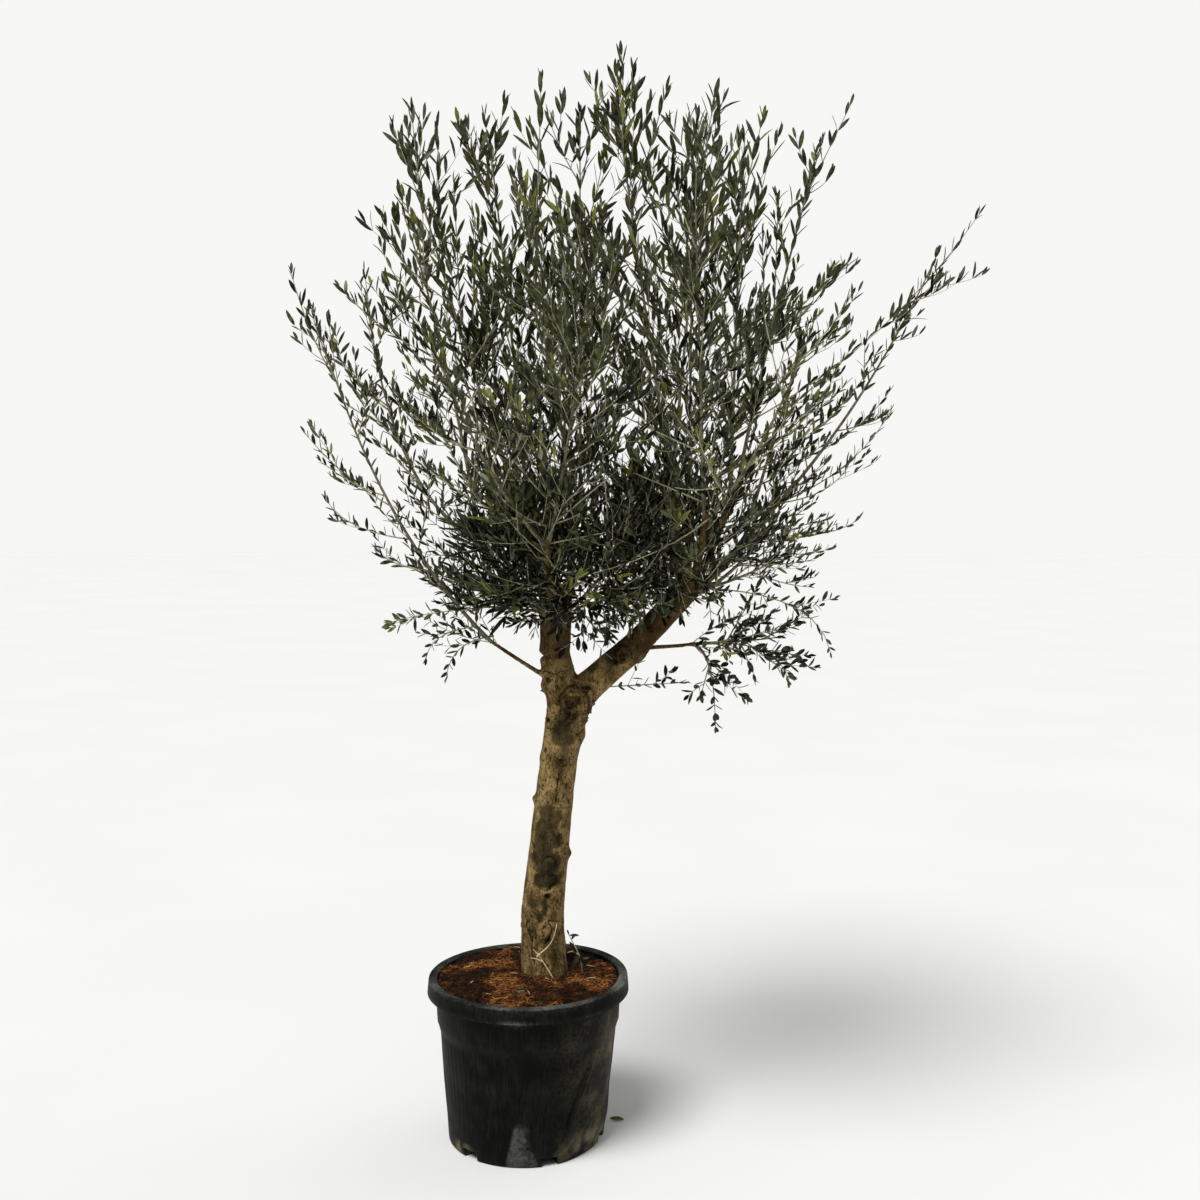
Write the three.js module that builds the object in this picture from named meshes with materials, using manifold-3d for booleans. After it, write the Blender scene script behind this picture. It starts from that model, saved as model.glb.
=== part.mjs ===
// A young olive tree in a round nursery container, built as separate named solids: the container, its
// soil, the trunk, the limbs and the masses of foliage that the limbs carry.
// Millimetres, +Z up. +X is the side to which the trunk leans and +Y is the back.
// The origin is the middle of the container's flat underside.
import * as THREE from "three";
import { mergeVertices } from "three/addons/utils/BufferGeometryUtils.js";
import Module from "manifold-3d";

const wasm = await Module();
wasm.setup();

// ---- Driving dimensions ---------------------------------------------------------------------------

const CLEARANCE = 0.3; // between solids that touch on the real plant

const POT = {
  height: 378,
  sides: 32,
  wall: 3,
  floor: 4,
  footRadius: 177, // flat underside
  bodyFoot: { radius: 183, z: 12 }, // where the rounded foot meets the wall
  bodyTop: { radius: 202, z: 258 },
  collarFoot: { radius: 209, z: 280 }, // the stacking step
  collarTop: { radius: 212, z: 343 },
  rimRadius: 232,
  rimRound: 8, // rounding of the rim's top edge
  rimRoof: 7, // thickness of the rim's top
  rimSkirt: 4, // thickness of the rim's turned-down skirt
  notches: 6,
  notchWidth: 38,
  notchHeight: 20,
  notchDepth: 32,
  firstNotch: -72, // degrees, from +X towards +Y
};

const SOIL = {
  edge: 363, // height at the container's wall
  crown: 380, // height of the flat top of the mound, which is the ground level of the tree
  crownRadius: 112,
  inset: 0.8, // clearance to the wall of the container
};

// A tapered limb's path: it starts at a seat, ends at seat + (across, back, up), and its arch says how far
// it first runs outwards (over 0.5) or upwards (under 0.5) before it turns.
const TRUNK = {
  foot: [37, 22, SOIL.crown - 20], // cut flat at the ground
  bends: [
    [36, 20, 500],
    [44, 16, 650],
    [62, 12, 810],
    [78, 10, 950],
  ],
  top: [80, 8, 1118],
  radius: [49, 47.5, 44, 43.5, 37], // at even steps from the ground to the fork
  flare: 7, // extra radius where the roots spread
  flareHeight: 45,
  sides: 14,
  rings: 12,
};

const LEFT_FORK = { start: [79, 8, 1118], across: -8, back: -4, up: 112, arch: 0.9, radius: [37, 35, 37] };
const RIGHT_FORK = { start: [84, 8, 985], across: 290, back: -16, up: 280, arch: 0.56, radius: [43, 36, 36] };
const COLLAR = 0.29; // share of the right fork's path that belongs to the trunk

// Limbs that rise from the two sawn heads of the fork, from the trunk, or from the right bough's underside.
// seat is the bearing, in degrees from +X towards +Y, of the limb's root on the head that carries it.
const BOUGHS = [
  { name: "bough_left_outer", on: "bough_left", seat: 195, across: -150, back: -50, up: 170, arch: 0.6, radius: [11, 10] },
  { name: "bough_left_upright", on: "bough_left", seat: 135, across: -55, back: 25, up: 240, arch: 0.4, radius: [11.5, 10] },
  { name: "bough_left_inner", on: "bough_left", seat: 20, across: 30, back: 10, up: 270, arch: 0.45, radius: [11, 10] },
  { name: "bough_left_back", on: "bough_left", seat: 78, across: -15, back: 175, up: 190, arch: 0.6, radius: [11, 10] },
  { name: "bough_left_front", on: "bough_left", seat: 262, across: -10, back: -175, up: 170, arch: 0.66, radius: [11, 10] },
  { name: "bough_right_upright", on: "bough_right", seat: 155, across: -25, back: 0, up: 270, arch: 0.5, radius: [12, 10] },
  { name: "bough_right_outer", on: "bough_right", seat: 330, across: 90, back: -20, up: 220, arch: 0.5, radius: [11, 10] },
  { name: "bough_right_spread", on: "bough_right", seat: 30, across: 130, back: 50, up: 130, arch: 0.6, radius: [11, 10] },
  { name: "bough_right_back", on: "bough_right", seat: 90, across: 20, back: 180, up: 190, arch: 0.6, radius: [11, 10] },
  { name: "bough_right_front", on: "bough_right", seat: 272, across: 30, back: -175, up: 170, arch: 0.66, radius: [11, 10] },
  { name: "bough_low_left", on: "trunk", at: 0.92, across: -160, back: -35, up: 108, arch: 0.52, radius: [9, 8] },
  { name: "bough_under_right", on: "bough_right", at: 0.3, across: 150, back: 60, up: 5, arch: 0.9, radius: [10, 10] },
];

// Masses of foliage. Each has one stem, with the same measures as a limb, that grows on from its bough's tip.
// spread is the length of its longest shoots, lift how strongly they turn up (or, below 0, hang down), and
// bare the share of the stem, from its root, that carries no leaves.
const MASSES = [
  { name: "foliage_inner", on: "bough_left", seat: 318, across: 140, back: -150, up: 190, arch: 0.6, spread: 170, lift: 0.3, bare: 0.1, shoots: 6, seed: 27 },
  { name: "foliage_inner_right", on: "bough_right", seat: 235, across: -95, back: -140, up: 215, arch: 0.5, spread: 170, lift: 0.5, bare: 0.1, shoots: 6, seed: 28 },
  { name: "foliage_inner_left", on: "bough_left", seat: 232, across: -90, back: -95, up: 170, arch: 0.4, spread: 170, lift: 0.3, bare: 0.15, shoots: 5, seed: 29 },
  { name: "foliage_low_left", on: "bough_low_left", seat: 180, across: -385, back: -40, up: 740, arch: 0.66, spread: 185, lift: 0.5, bare: 0.5, shoots: 5, seed: 1 },
  { name: "foliage_left_side", on: "bough_left_outer", seat: 140, across: -260, back: 120, up: 560, arch: 0.8, spread: 220, lift: 0.6, bare: 0.5, shoots: 4, seed: 2 },
  { name: "foliage_left_upper", on: "bough_left_outer", seat: 320, across: -150, back: -110, up: 700, arch: 0.4, spread: 230, lift: 0.7, bare: 0.5, shoots: 4, seed: 3 },
  { name: "foliage_left_skirt", on: "bough_left", seat: 163, across: -225, back: -120, up: 30, arch: 0.5, spread: 190, lift: 0.3, bare: 0.25, shoots: 4, seed: 4 },
  { name: "foliage_top_left_outer", on: "bough_left_upright", seat: 200, across: -250, back: -20, up: 800, arch: 0.56, spread: 230, lift: 0.8, bare: 0.5, shoots: 4, seed: 5 },
  { name: "foliage_top_left", on: "bough_left_upright", seat: 20, across: -90, back: 80, up: 850, arch: 0.45, spread: 230, lift: 0.8, bare: 0.5, shoots: 5, seed: 6 },
  { name: "foliage_top_middle", on: "bough_left_inner", seat: 60, across: 0, back: 40, up: 865, arch: 0.5, spread: 230, lift: 0.8, bare: 0.5, shoots: 5, seed: 7 },
  { name: "foliage_front_left_upper", on: "bough_left_inner", seat: 240, across: -110, back: -200, up: 640, arch: 0.6, spread: 220, lift: 0.7, bare: 0.3, shoots: 4, seed: 8 },
  { name: "foliage_back_left", on: "bough_left_back", seat: 140, across: -270, back: 220, up: 480, arch: 0.62, spread: 240, lift: 0.6, bare: 0.4, shoots: 4, seed: 9 },
  { name: "foliage_back_middle", on: "bough_left_back", seat: 320, across: 60, back: 170, up: 760, arch: 0.5, spread: 240, lift: 0.7, bare: 0.4, shoots: 5, seed: 10 },
  { name: "foliage_front_left", on: "bough_left_front", seat: 210, across: -190, back: -230, up: 360, arch: 0.62, spread: 230, lift: 0.5, bare: 0.2, shoots: 4, seed: 11 },
  { name: "foliage_front", on: "bough_left_front", seat: 30, across: 90, back: -200, up: 560, arch: 0.6, spread: 240, lift: 0.6, bare: 0.15, shoots: 5, seed: 12 },
  { name: "foliage_top", on: "bough_right_upright", seat: 200, across: -120, back: -30, up: 800, arch: 0.52, spread: 230, lift: 0.9, bare: 0.5, shoots: 5, seed: 13 },
  { name: "foliage_top_right_middle", on: "bough_right_upright", seat: 20, across: 75, back: 90, up: 780, arch: 0.5, spread: 230, lift: 0.8, bare: 0.5, shoots: 4, seed: 14 },
  { name: "foliage_top_right", on: "bough_right_outer", seat: 200, across: 20, back: -60, up: 780, arch: 0.4, spread: 230, lift: 0.8, bare: 0.5, shoots: 4, seed: 15 },
  { name: "foliage_right_upper", on: "bough_right_outer", seat: 20, across: 190, back: 20, up: 790, arch: 0.45, spread: 230, lift: 0.8, bare: 0.5, shoots: 5, seed: 16 },
  { name: "foliage_right", on: "bough_right_spread", seat: 110, across: 160, back: 120, up: 500, arch: 0.5, spread: 190, lift: 0.6, bare: 0.4, shoots: 4, seed: 17 },
  { name: "foliage_far_right", on: "bough_right_spread", seat: 290, across: 420, back: -40, up: 640, arch: 0.6, spread: 120, lift: 0.45, bare: 0.5, shoots: 6, seed: 18 },
  { name: "foliage_right_middle", on: "bough_right", seat: 0, across: 230, back: -20, up: 300, arch: 0.7, spread: 165, lift: 0.35, bare: 0.3, shoots: 5, seed: 19 },
  { name: "foliage_right_low", on: "bough_right", seat: 300, across: 210, back: -180, up: 110, arch: 0.62, spread: 165, lift: 0.3, bare: 0.25, shoots: 4, seed: 20 },
  { name: "foliage_back_right", on: "bough_right_back", seat: 40, across: 210, back: 220, up: 460, arch: 0.62, spread: 240, lift: 0.6, bare: 0.4, shoots: 4, seed: 21 },
  { name: "foliage_back_right_upper", on: "bough_right_back", seat: 220, across: 10, back: 90, up: 720, arch: 0.5, spread: 230, lift: 0.7, bare: 0.5, shoots: 4, seed: 22 },
  { name: "foliage_front_right", on: "bough_right_front", seat: 340, across: 190, back: -210, up: 400, arch: 0.62, spread: 240, lift: 0.5, bare: 0.2, shoots: 5, seed: 23 },
  { name: "foliage_front_right_upper", on: "bough_right_front", seat: 160, across: -30, back: -100, up: 690, arch: 0.5, spread: 230, lift: 0.7, bare: 0.2, shoots: 4, seed: 24 },
  { name: "foliage_lower_right", on: "bough_under_right", seat: 70, across: 210, back: 60, up: 10, arch: 0.7, spread: 180, lift: 0.1, bare: 0.3, shoots: 4, seed: 25 },
  { name: "foliage_hanging", on: "bough_under_right", seat: 250, across: 40, back: -20, up: -70, arch: 0.8, spread: 100, lift: -0.4, bare: 0.2, shoots: 3, seed: 26 },
];

const STEM = { radius: [4.4, 2.6], sides: 3, rings: 4 };
const SHOOT = {
  radius: [1.7, 1.2],
  sides: 3,
  rings: 2,
  firstStation: 0.06, // share of the stem where the lowest shoot leaves it
  lastStation: 0.9,
  turn: 137.5, // degrees round the stem from one shoot to the next
  turnJitter: 25,
  lowAngle: 62, // degrees between stem and shoot, near the stem's foot and near its tip
  highAngle: 30,
  tries: 8, // bearings that are tried where a shoot would crowd another mass
  clearance: 42,
  samples: 4,
};
const LEAF = {
  length: 130,
  width: 42,
  thickness: 4,
  sides: 3, // a flat face above and a keel below
  angle: 34, // degrees between the twig and a leaf
  spacing: 150,
  bareShare: 0.3, // share of a shoot, from its root, that carries no leaves
  sizes: [1, 0.8, 0.6], // tried in turn, where a larger leaf would leave its space
  clearance: 22, // between a leaf's line and the other leaves and twigs of its mass
  sink: 0.5, // how far a leaf's root lies past the twig's middle
};
const SPACE_GAP = 5; // kept free between the foliage of two masses, and round each limb
const DEEPEST_SEAT = 12; // how far a root starts below the end that it sits on, before it is cut there
const SEAT_EDGE = 0.6; // from a root's side to the edge of the end that it sits on

const DEGREE = Math.PI / 180;
const UP = new THREE.Vector3(0, 0, 1);

// ---- Materials ------------------------------------------------------------------------------------

const finishes = {
  pot: new THREE.MeshStandardMaterial({ color: 0x23262a, roughness: 0.55, metalness: 0 }),
  soil: new THREE.MeshStandardMaterial({ color: 0x5a2e16, roughness: 0.95, metalness: 0 }),
  bark: new THREE.MeshStandardMaterial({ color: 0x76654a, roughness: 0.85, metalness: 0 }),
  foliage: new THREE.MeshStandardMaterial({ color: 0x3f4f30, roughness: 0.6, metalness: 0 }),
};

// ---- Solids ---------------------------------------------------------------------------------------

function solidOf(geometry) {
  geometry.deleteAttribute("normal");
  geometry.deleteAttribute("uv");
  const merged = mergeVertices(geometry, 1e-4);
  return new wasm.Manifold(
    new wasm.Mesh({
      numProp: 3,
      vertProperties: new Float32Array(merged.attributes.position.array),
      triVerts: new Uint32Array(merged.index.array),
    }),
  );
}

function geometryOf(solid) {
  const mesh = solid.getMesh();
  const geometry = new THREE.BufferGeometry();
  geometry.setAttribute("position", new THREE.BufferAttribute(mesh.vertProperties, mesh.numProp));
  geometry.setIndex(new THREE.BufferAttribute(mesh.triVerts, 1));
  geometry.computeVertexNormals();
  return geometry;
}

function largestPiece(solid) {
  return solid.decompose().reduce((a, b) => (a.volume() > b.volume() ? a : b));
}

function meshOf(name, solid, finish) {
  const mesh = new THREE.Mesh(geometryOf(solid), finish);
  mesh.name = name;
  return mesh;
}

// A closed tapering tube along a curve: a cylinder whose rings are carried along the curve.
// radiusAt takes the share of the length, 0 to 1, and the angle round the limb. margin is added all round.
function limbGeometry(curve, radiusAt, sides, rings, margin = 0) {
  const geometry = new THREE.CylinderGeometry(1, 1, 1, sides, rings);
  const { tangents, normals, binormals } = curve.computeFrenetFrames(rings, false);
  const overrun = (ring) => (ring === rings ? margin : ring === 0 ? -margin : 0);
  const position = geometry.getAttribute("position");
  for (let i = 0; i < position.count; i++) {
    const ring = Math.round((position.getY(i) + 0.5) * rings);
    const x = position.getX(i);
    const z = position.getZ(i);
    const radius = radiusAt(ring / rings, Math.atan2(z, x)) + margin;
    const point = curve
      .getPointAt(ring / rings)
      .addScaledVector(tangents[ring], overrun(ring))
      .addScaledVector(normals[ring], x * radius)
      .addScaledVector(binormals[ring], -z * radius);
    position.setXYZ(i, point.x, point.y, point.z);
  }
  return geometry;
}

// ---- Container and soil ---------------------------------------------------------------------------

function turned(points, sides) {
  const profile = points.map(([radius, z]) => new THREE.Vector2(radius, z));
  return new THREE.LatheGeometry(profile, sides).rotateX(Math.PI / 2);
}

function rimArc(centreRadius, centreZ, radius, from, to, steps) {
  return Array.from({ length: steps + 1 }, (_, i) => {
    const angle = (from + ((to - from) * i) / steps) * DEGREE;
    return [centreRadius + radius * Math.cos(angle), centreZ + radius * Math.sin(angle)];
  });
}

function potSolid() {
  const { wall, rimRadius, rimRound, height } = POT;
  const profile = [
    [0, 0],
    [POT.footRadius, 0],
    [POT.bodyFoot.radius, POT.bodyFoot.z],
    [POT.bodyTop.radius, POT.bodyTop.z],
    [POT.collarFoot.radius, POT.collarFoot.z],
    [POT.collarTop.radius, POT.collarTop.z],
    [POT.collarTop.radius + 2, height - POT.rimRoof],
    [rimRadius - POT.rimSkirt, height - POT.rimRoof],
    [rimRadius - POT.rimSkirt, POT.collarTop.z],
    [rimRadius, POT.collarTop.z],
    ...rimArc(rimRadius - rimRound, height - rimRound, rimRound, 0, 90, 2),
    [POT.collarTop.radius + 2, height],
    [POT.collarTop.radius - wall, height - 4],
    [POT.collarTop.radius - wall, POT.collarTop.z],
    [POT.collarFoot.radius - wall, POT.collarFoot.z],
    [POT.bodyTop.radius - wall, POT.bodyTop.z],
    [POT.bodyFoot.radius - wall, POT.bodyFoot.z],
    [POT.footRadius - wall, POT.floor],
    [0, POT.floor],
  ];
  const notch = new THREE.BoxGeometry(POT.notchDepth, POT.notchWidth, 2 * POT.notchHeight);
  notch.translate(POT.bodyFoot.radius - POT.notchDepth / 2 + 2, 0, 0);
  const notches = Array.from({ length: POT.notches }, (_, i) => {
    const bearing = (POT.firstNotch + (360 / POT.notches) * i) * DEGREE;
    return solidOf(notch.clone().rotateZ(bearing));
  });
  return notches.reduce((pot, cut) => pot.subtract(cut), solidOf(turned(profile, POT.sides)));
}

function soilSolid() {
  const inset = POT.wall + SOIL.inset;
  const bed = POT.floor + CLEARANCE;
  return solidOf(
    turned(
      [
        [0, bed],
        [POT.footRadius - inset - 1, bed],
        [POT.bodyFoot.radius - inset, POT.bodyFoot.z],
        [POT.bodyTop.radius - inset, POT.bodyTop.z],
        [POT.collarFoot.radius - inset, POT.collarFoot.z + 2],
        [POT.collarTop.radius - inset, POT.collarTop.z],
        [POT.collarTop.radius - inset, SOIL.edge],
        [(POT.collarTop.radius + SOIL.crownRadius) / 2, SOIL.edge + 0.62 * (SOIL.crown - SOIL.edge)],
        [SOIL.crownRadius, SOIL.crown - CLEARANCE],
        [0, SOIL.crown - CLEARANCE],
      ],
      POT.sides,
    ),
  );
}

// ---- Trunk and limbs ------------------------------------------------------------------------------

const vector = ([x, y, z]) => new THREE.Vector3(x, y, z);

function arched(start, { across, back, up, arch }) {
  const bend = start.clone().add(new THREE.Vector3(across * arch, back * arch, up * (1 - arch)));
  const tip = start.clone().add(new THREE.Vector3(across, back, up));
  return new THREE.QuadraticBezierCurve3(start, bend, tip);
}

// Radius along a limb, from its list of radii at even steps.
function taper(radii) {
  return (t) => {
    const place = Math.min(t, 0.9999) * (radii.length - 1);
    const step = Math.floor(place);
    return THREE.MathUtils.lerp(radii[step], radii[step + 1], place - step);
  };
}

function trunkRadius(t, angle) {
  const height = t * (TRUNK.top[2] - TRUNK.foot[2]) - 20;
  const body = taper(TRUNK.radius)(t);
  const roots = TRUNK.flare * Math.exp(-height / TRUNK.flareHeight) * (1 + 0.5 * Math.cos(3 * angle));
  return body * (1 + 0.025 * Math.cos(2 * angle + 3 * t)) + roots;
}

// A curve cut to a part of its length.
class PartCurve extends THREE.Curve {
  constructor(whole, from, to) {
    super();
    Object.assign(this, { whole, from, to });
  }
  getPoint(t, target = new THREE.Vector3()) {
    return target.copy(this.whole.getPointAt(THREE.MathUtils.lerp(this.from, this.to, t)));
  }
}

const SIDES = { fork: 12, bough: 6 };
const RINGS = { collar: 3, fork: 6, bough: 4 };

const trunkCurve = new THREE.CatmullRomCurve3([TRUNK.foot, ...TRUNK.bends, TRUNK.top].map(vector));
const rightCurve = arched(vector(RIGHT_FORK.start), RIGHT_FORK);
const leftCurve = arched(vector(LEFT_FORK.start), LEFT_FORK);
const rightTaper = taper(RIGHT_FORK.radius);

// Limbs by name: the curve, the radius along it, and the solid. grown makes the solid a little larger all
// round, which is what a child limb is cut by to stand clear of it.
const limbs = new Map();

function addLimb(name, curve, radiusAt, sides, rings, cutBy = []) {
  const solidWith = (margin) => solidOf(limbGeometry(curve, radiusAt, sides, rings, margin));
  const whole = cutBy.reduce((solid, other) => solid.subtract(other), solidWith(0));
  limbs.set(name, { curve, radiusAt, solid: largestPiece(whole), grown: solidWith(CLEARANCE) });
}

function addTrunkAndForks() {
  const joint = CLEARANCE / rightCurve.getLength();
  const collarCurve = new PartCurve(rightCurve, 0, COLLAR);
  const boughCurve = new PartCurve(rightCurve, COLLAR + joint, 1);
  const collarAt = (t) => rightTaper(t * COLLAR);
  const collar = (margin) => solidOf(limbGeometry(collarCurve, collarAt, SIDES.fork, RINGS.collar, margin));
  addLimb("trunk", trunkCurve, trunkRadius, TRUNK.sides, TRUNK.rings);
  const trunk = limbs.get("trunk");
  const ground = new THREE.BoxGeometry(1, 1, 1).translate(0, 0, -0.5).scale(400, 400, 100);
  trunk.solid = trunk.solid.add(collar(0)).subtract(solidOf(ground.translate(0, 0, SOIL.crown)));
  trunk.grown = trunk.grown.add(collar(CLEARANCE));
  addLimb("bough_left", leftCurve, taper(LEFT_FORK.radius), SIDES.fork, RINGS.fork, [trunk.grown]);
  const boughAt = (t) => rightTaper(COLLAR + t * (1 - COLLAR));
  addLimb("bough_right", boughCurve, boughAt, SIDES.fork, RINGS.fork, [limbs.get("bough_left").grown]);
}

// Where a limb or stem starts: on its parent's line, or just inside the edge of the parent's end.
function seatOf({ on, at = 1, seat }, rootRadius) {
  const { curve, radiusAt } = limbs.get(on);
  const start = curve.getPointAt(at);
  if (seat === undefined) return start;
  const tangent = curve.getTangentAt(1);
  const side = new THREE.Vector3(Math.cos(seat * DEGREE), Math.sin(seat * DEGREE), 0);
  side.addScaledVector(tangent, -side.dot(tangent)).normalize();
  const sunk = Math.min(DEEPEST_SEAT, radiusAt(1, 0));
  return start.addScaledVector(tangent, -sunk).addScaledVector(side, radiusAt(1, 0) - rootRadius - SEAT_EDGE);
}

function addBoughs() {
  for (const bough of BOUGHS) {
    const parents = [limbs.get(bough.on).grown];
    const curve = arched(seatOf(bough, bough.radius[0]), bough);
    addLimb(bough.name, curve, taper(bough.radius), SIDES.bough, RINGS.bough, parents);
  }
}

// ---- Foliage --------------------------------------------------------------------------------------

function seeded(seed) {
  let state = Math.imul(seed, 2654435761) >>> 0;
  return () => {
    state = (Math.imul(state, 1664525) + 1013904223) >>> 0;
    return state / 2 ** 32;
  };
}

// Two directions across a twig: level, and square to that.
function acrossTwig(tangent) {
  const level = new THREE.Vector3().crossVectors(tangent, UP);
  if (level.lengthSq() < 1e-6) level.set(1, 0, 0);
  level.normalize();
  return [level, new THREE.Vector3().crossVectors(level, tangent)];
}

function turnedFrom(tangent, angle, bearing) {
  const [level, square] = acrossTwig(tangent);
  const side = level.multiplyScalar(Math.cos(bearing)).addScaledVector(square, Math.sin(bearing));
  const direction = tangent.clone().multiplyScalar(Math.cos(angle)).addScaledVector(side, Math.sin(angle));
  return { side, direction };
}

function distanceToLine(point, line) {
  const segment = new THREE.Line3();
  const near = new THREE.Vector3();
  let least = Infinity;
  for (let i = 0; i + 1 < line.length; i++) {
    segment.set(line[i], line[i + 1]).closestPointToPoint(point, true, near);
    least = Math.min(least, near.distanceTo(point));
  }
  return least;
}

const distanceToLines = (point, lines) => Math.min(...lines.map((line) => distanceToLine(point, line)));

// Each growth is a mass with its stem, its shoots, the lines of both, and the lines of its leaves.
const growths = MASSES.map((mass) => ({ mass, stem: null, shoots: [], lines: [], leafLines: [] }));

function clearOfLimbs(point) {
  return [...limbs.values()].every(
    ({ line, thickest }) => distanceToLine(point, line) > thickest + SPACE_GAP,
  );
}

// The space of a mass is all that lies nearer to its own stem and shoots than to those of any other mass.
function inOwnSpace(point, own) {
  const reach = distanceToLines(point, own.lines) + SPACE_GAP;
  const others = growths.filter((other) => other !== own);
  return others.every((other) => distanceToLines(point, other.lines) > reach) && clearOfLimbs(point);
}

function clearForShoot(point, own) {
  const others = growths.filter((other) => other !== own);
  return others.every((other) => distanceToLines(point, other.lines) > SHOOT.clearance) && clearOfLimbs(point);
}

// One shoot of a mass: it leaves the stem at its station and turns up or down by the mass's lift.
// Where it would crowd another mass or a limb, it tries the next bearing round the stem, then gives up.
function growShoot(own, index) {
  const { mass, stem, random } = own;
  const share = (index + 0.5) / mass.shoots;
  const station = THREE.MathUtils.lerp(SHOOT.firstStation, SHOOT.lastStation, share);
  const root = stem.getPointAt(station);
  const angle = THREE.MathUtils.lerp(SHOOT.lowAngle, SHOOT.highAngle, share) * DEGREE;
  const length = mass.spread * (1.1 - 0.45 * share) * (0.85 + 0.3 * random());
  const jitter = (random() - 0.5) * SHOOT.turnJitter;
  for (let turn = 0; turn < SHOOT.tries; turn++) {
    const bearing = (index * SHOOT.turn + jitter + (turn * 360) / SHOOT.tries) * DEGREE;
    const { direction } = turnedFrom(stem.getTangentAt(station), angle, bearing);
    const end = direction.clone().addScaledVector(UP, mass.lift).normalize();
    const bend = root.clone().addScaledVector(direction, length / 2);
    const shoot = new THREE.QuadraticBezierCurve3(root, bend, bend.clone().addScaledVector(end, length / 2));
    const line = shoot.getSpacedPoints(SHOOT.samples);
    if (line.slice(1).every((point) => clearForShoot(point, own))) {
      own.shoots.push(shoot);
      own.lines.push(line);
      return;
    }
  }
}

function leafGeometry(root, direction, across, size) {
  const normal = new THREE.Vector3().crossVectors(across, direction);
  return new THREE.SphereGeometry(1, LEAF.sides, 2)
    .translate(0, 1, 0)
    .scale((size * LEAF.width) / 2, (size * LEAF.length) / 2, LEAF.thickness / 2)
    .applyMatrix4(new THREE.Matrix4().makeBasis(across, direction, normal).setPosition(root));
}

// True where a leaf would run into another twig of its mass, or into a leaf that is already there.
function crowded(points, twigLine, own) {
  const lines = [...own.lines.filter((line) => line !== twigLine), ...own.leafLines];
  return points.some((point) => distanceToLines(point, lines) < LEAF.clearance);
}

// A leaf as large as its place allows, or none.
function fittedLeaf(point, direction, across, twigLine, own) {
  const root = point.clone().addScaledVector(direction, -LEAF.sink);
  for (const size of LEAF.sizes) {
    const tip = root.clone().addScaledVector(direction, size * LEAF.length);
    const middle = root.clone().lerp(tip, 0.5);
    const edges = [1, -1].map((s) => middle.clone().addScaledVector(across, (s * size * LEAF.width) / 2));
    if (crowded([tip, middle], twigLine, own)) continue;
    if (![tip, ...edges].every((corner) => inOwnSpace(corner, own))) continue;
    own.leafLines.push([middle, tip]);
    return [leafGeometry(root, direction, across, size)];
  }
  return [];
}

// Leaves in crossed pairs along a twig, and one at its end.
function leavesAlong(curve, line, bareShare, own) {
  const last = curve.getTangentAt(1);
  const leaves = fittedLeaf(curve.getPointAt(1), last, acrossTwig(last)[0], line, own);
  const pairs = Math.max(1, Math.round(((1 - bareShare) * curve.getLength()) / LEAF.spacing));
  for (let pair = 0; pair < pairs; pair++) {
    const place = bareShare + ((1 - bareShare) * (pair + 0.3)) / pairs;
    const tangent = curve.getTangentAt(place);
    for (const half of [0, 180]) {
      const { side, direction } = turnedFrom(tangent, LEAF.angle * DEGREE, (45 + pair * 90 + half) * DEGREE);
      const across = new THREE.Vector3().crossVectors(tangent, side);
      leaves.push(...fittedLeaf(curve.getPointAt(place), direction, across, line, own));
    }
  }
  return leaves;
}

function foliageSolid(own) {
  const twig = (curve, { radius, sides, rings }) => limbGeometry(curve, taper(radius), sides, rings);
  const twigs = [twig(own.stem, STEM), ...own.shoots.map((shoot) => twig(shoot, SHOOT))];
  const leaves = [own.stem, ...own.shoots].flatMap((curve, i) => {
    return leavesAlong(curve, own.lines[i], i === 0 ? own.mass.bare : LEAF.bareShare, own);
  });
  const whole = wasm.Manifold.union([...twigs, ...leaves].map(solidOf));
  return largestPiece(whole.subtract(limbs.get(own.mass.on).grown));
}

// ---- The tree -------------------------------------------------------------------------------------

addTrunkAndForks();
addBoughs();
for (const limb of limbs.values()) {
  limb.line = limb.curve.getSpacedPoints(8);
  limb.thickest = Math.max(limb.radiusAt(0, 0), limb.radiusAt(1, 0));
}
for (const growth of growths) {
  growth.random = seeded(growth.mass.seed);
  growth.stem = arched(seatOf(growth.mass, STEM.radius[0]), growth.mass);
  growth.lines = [growth.stem.getSpacedPoints(10)];
}
const mostShoots = Math.max(...MASSES.map((mass) => mass.shoots));
for (let index = 0; index < mostShoots; index++)
  for (const growth of growths) if (index < growth.mass.shoots) growShoot(growth, index);

const tree = new THREE.Group();
tree.name = "olive_tree";
tree.add(meshOf("pot", potSolid(), finishes.pot));
tree.add(meshOf("soil", soilSolid(), finishes.soil));
for (const [name, limb] of limbs) tree.add(meshOf(name, limb.solid, finishes.bark));
for (const growth of growths) tree.add(meshOf(growth.mass.name, foliageSolid(growth), finishes.foliage));

export default tree;
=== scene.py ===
"""A young olive tree in a black nursery container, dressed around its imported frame.

Lengths inside the classes are in millimetres and in the part's own frame: +X is the side to which the trunk
leans, +Y the back and +Z up, from the middle of the container's underside. Batch.mesh and Stage turn them
to metres. Bearings are in degrees round +Z, from +X towards +Y, so the front is at -90.
"""

import logging
import math
from dataclasses import dataclass, field
from enum import Enum
from typing import Callable, Iterable, Sequence

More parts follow.
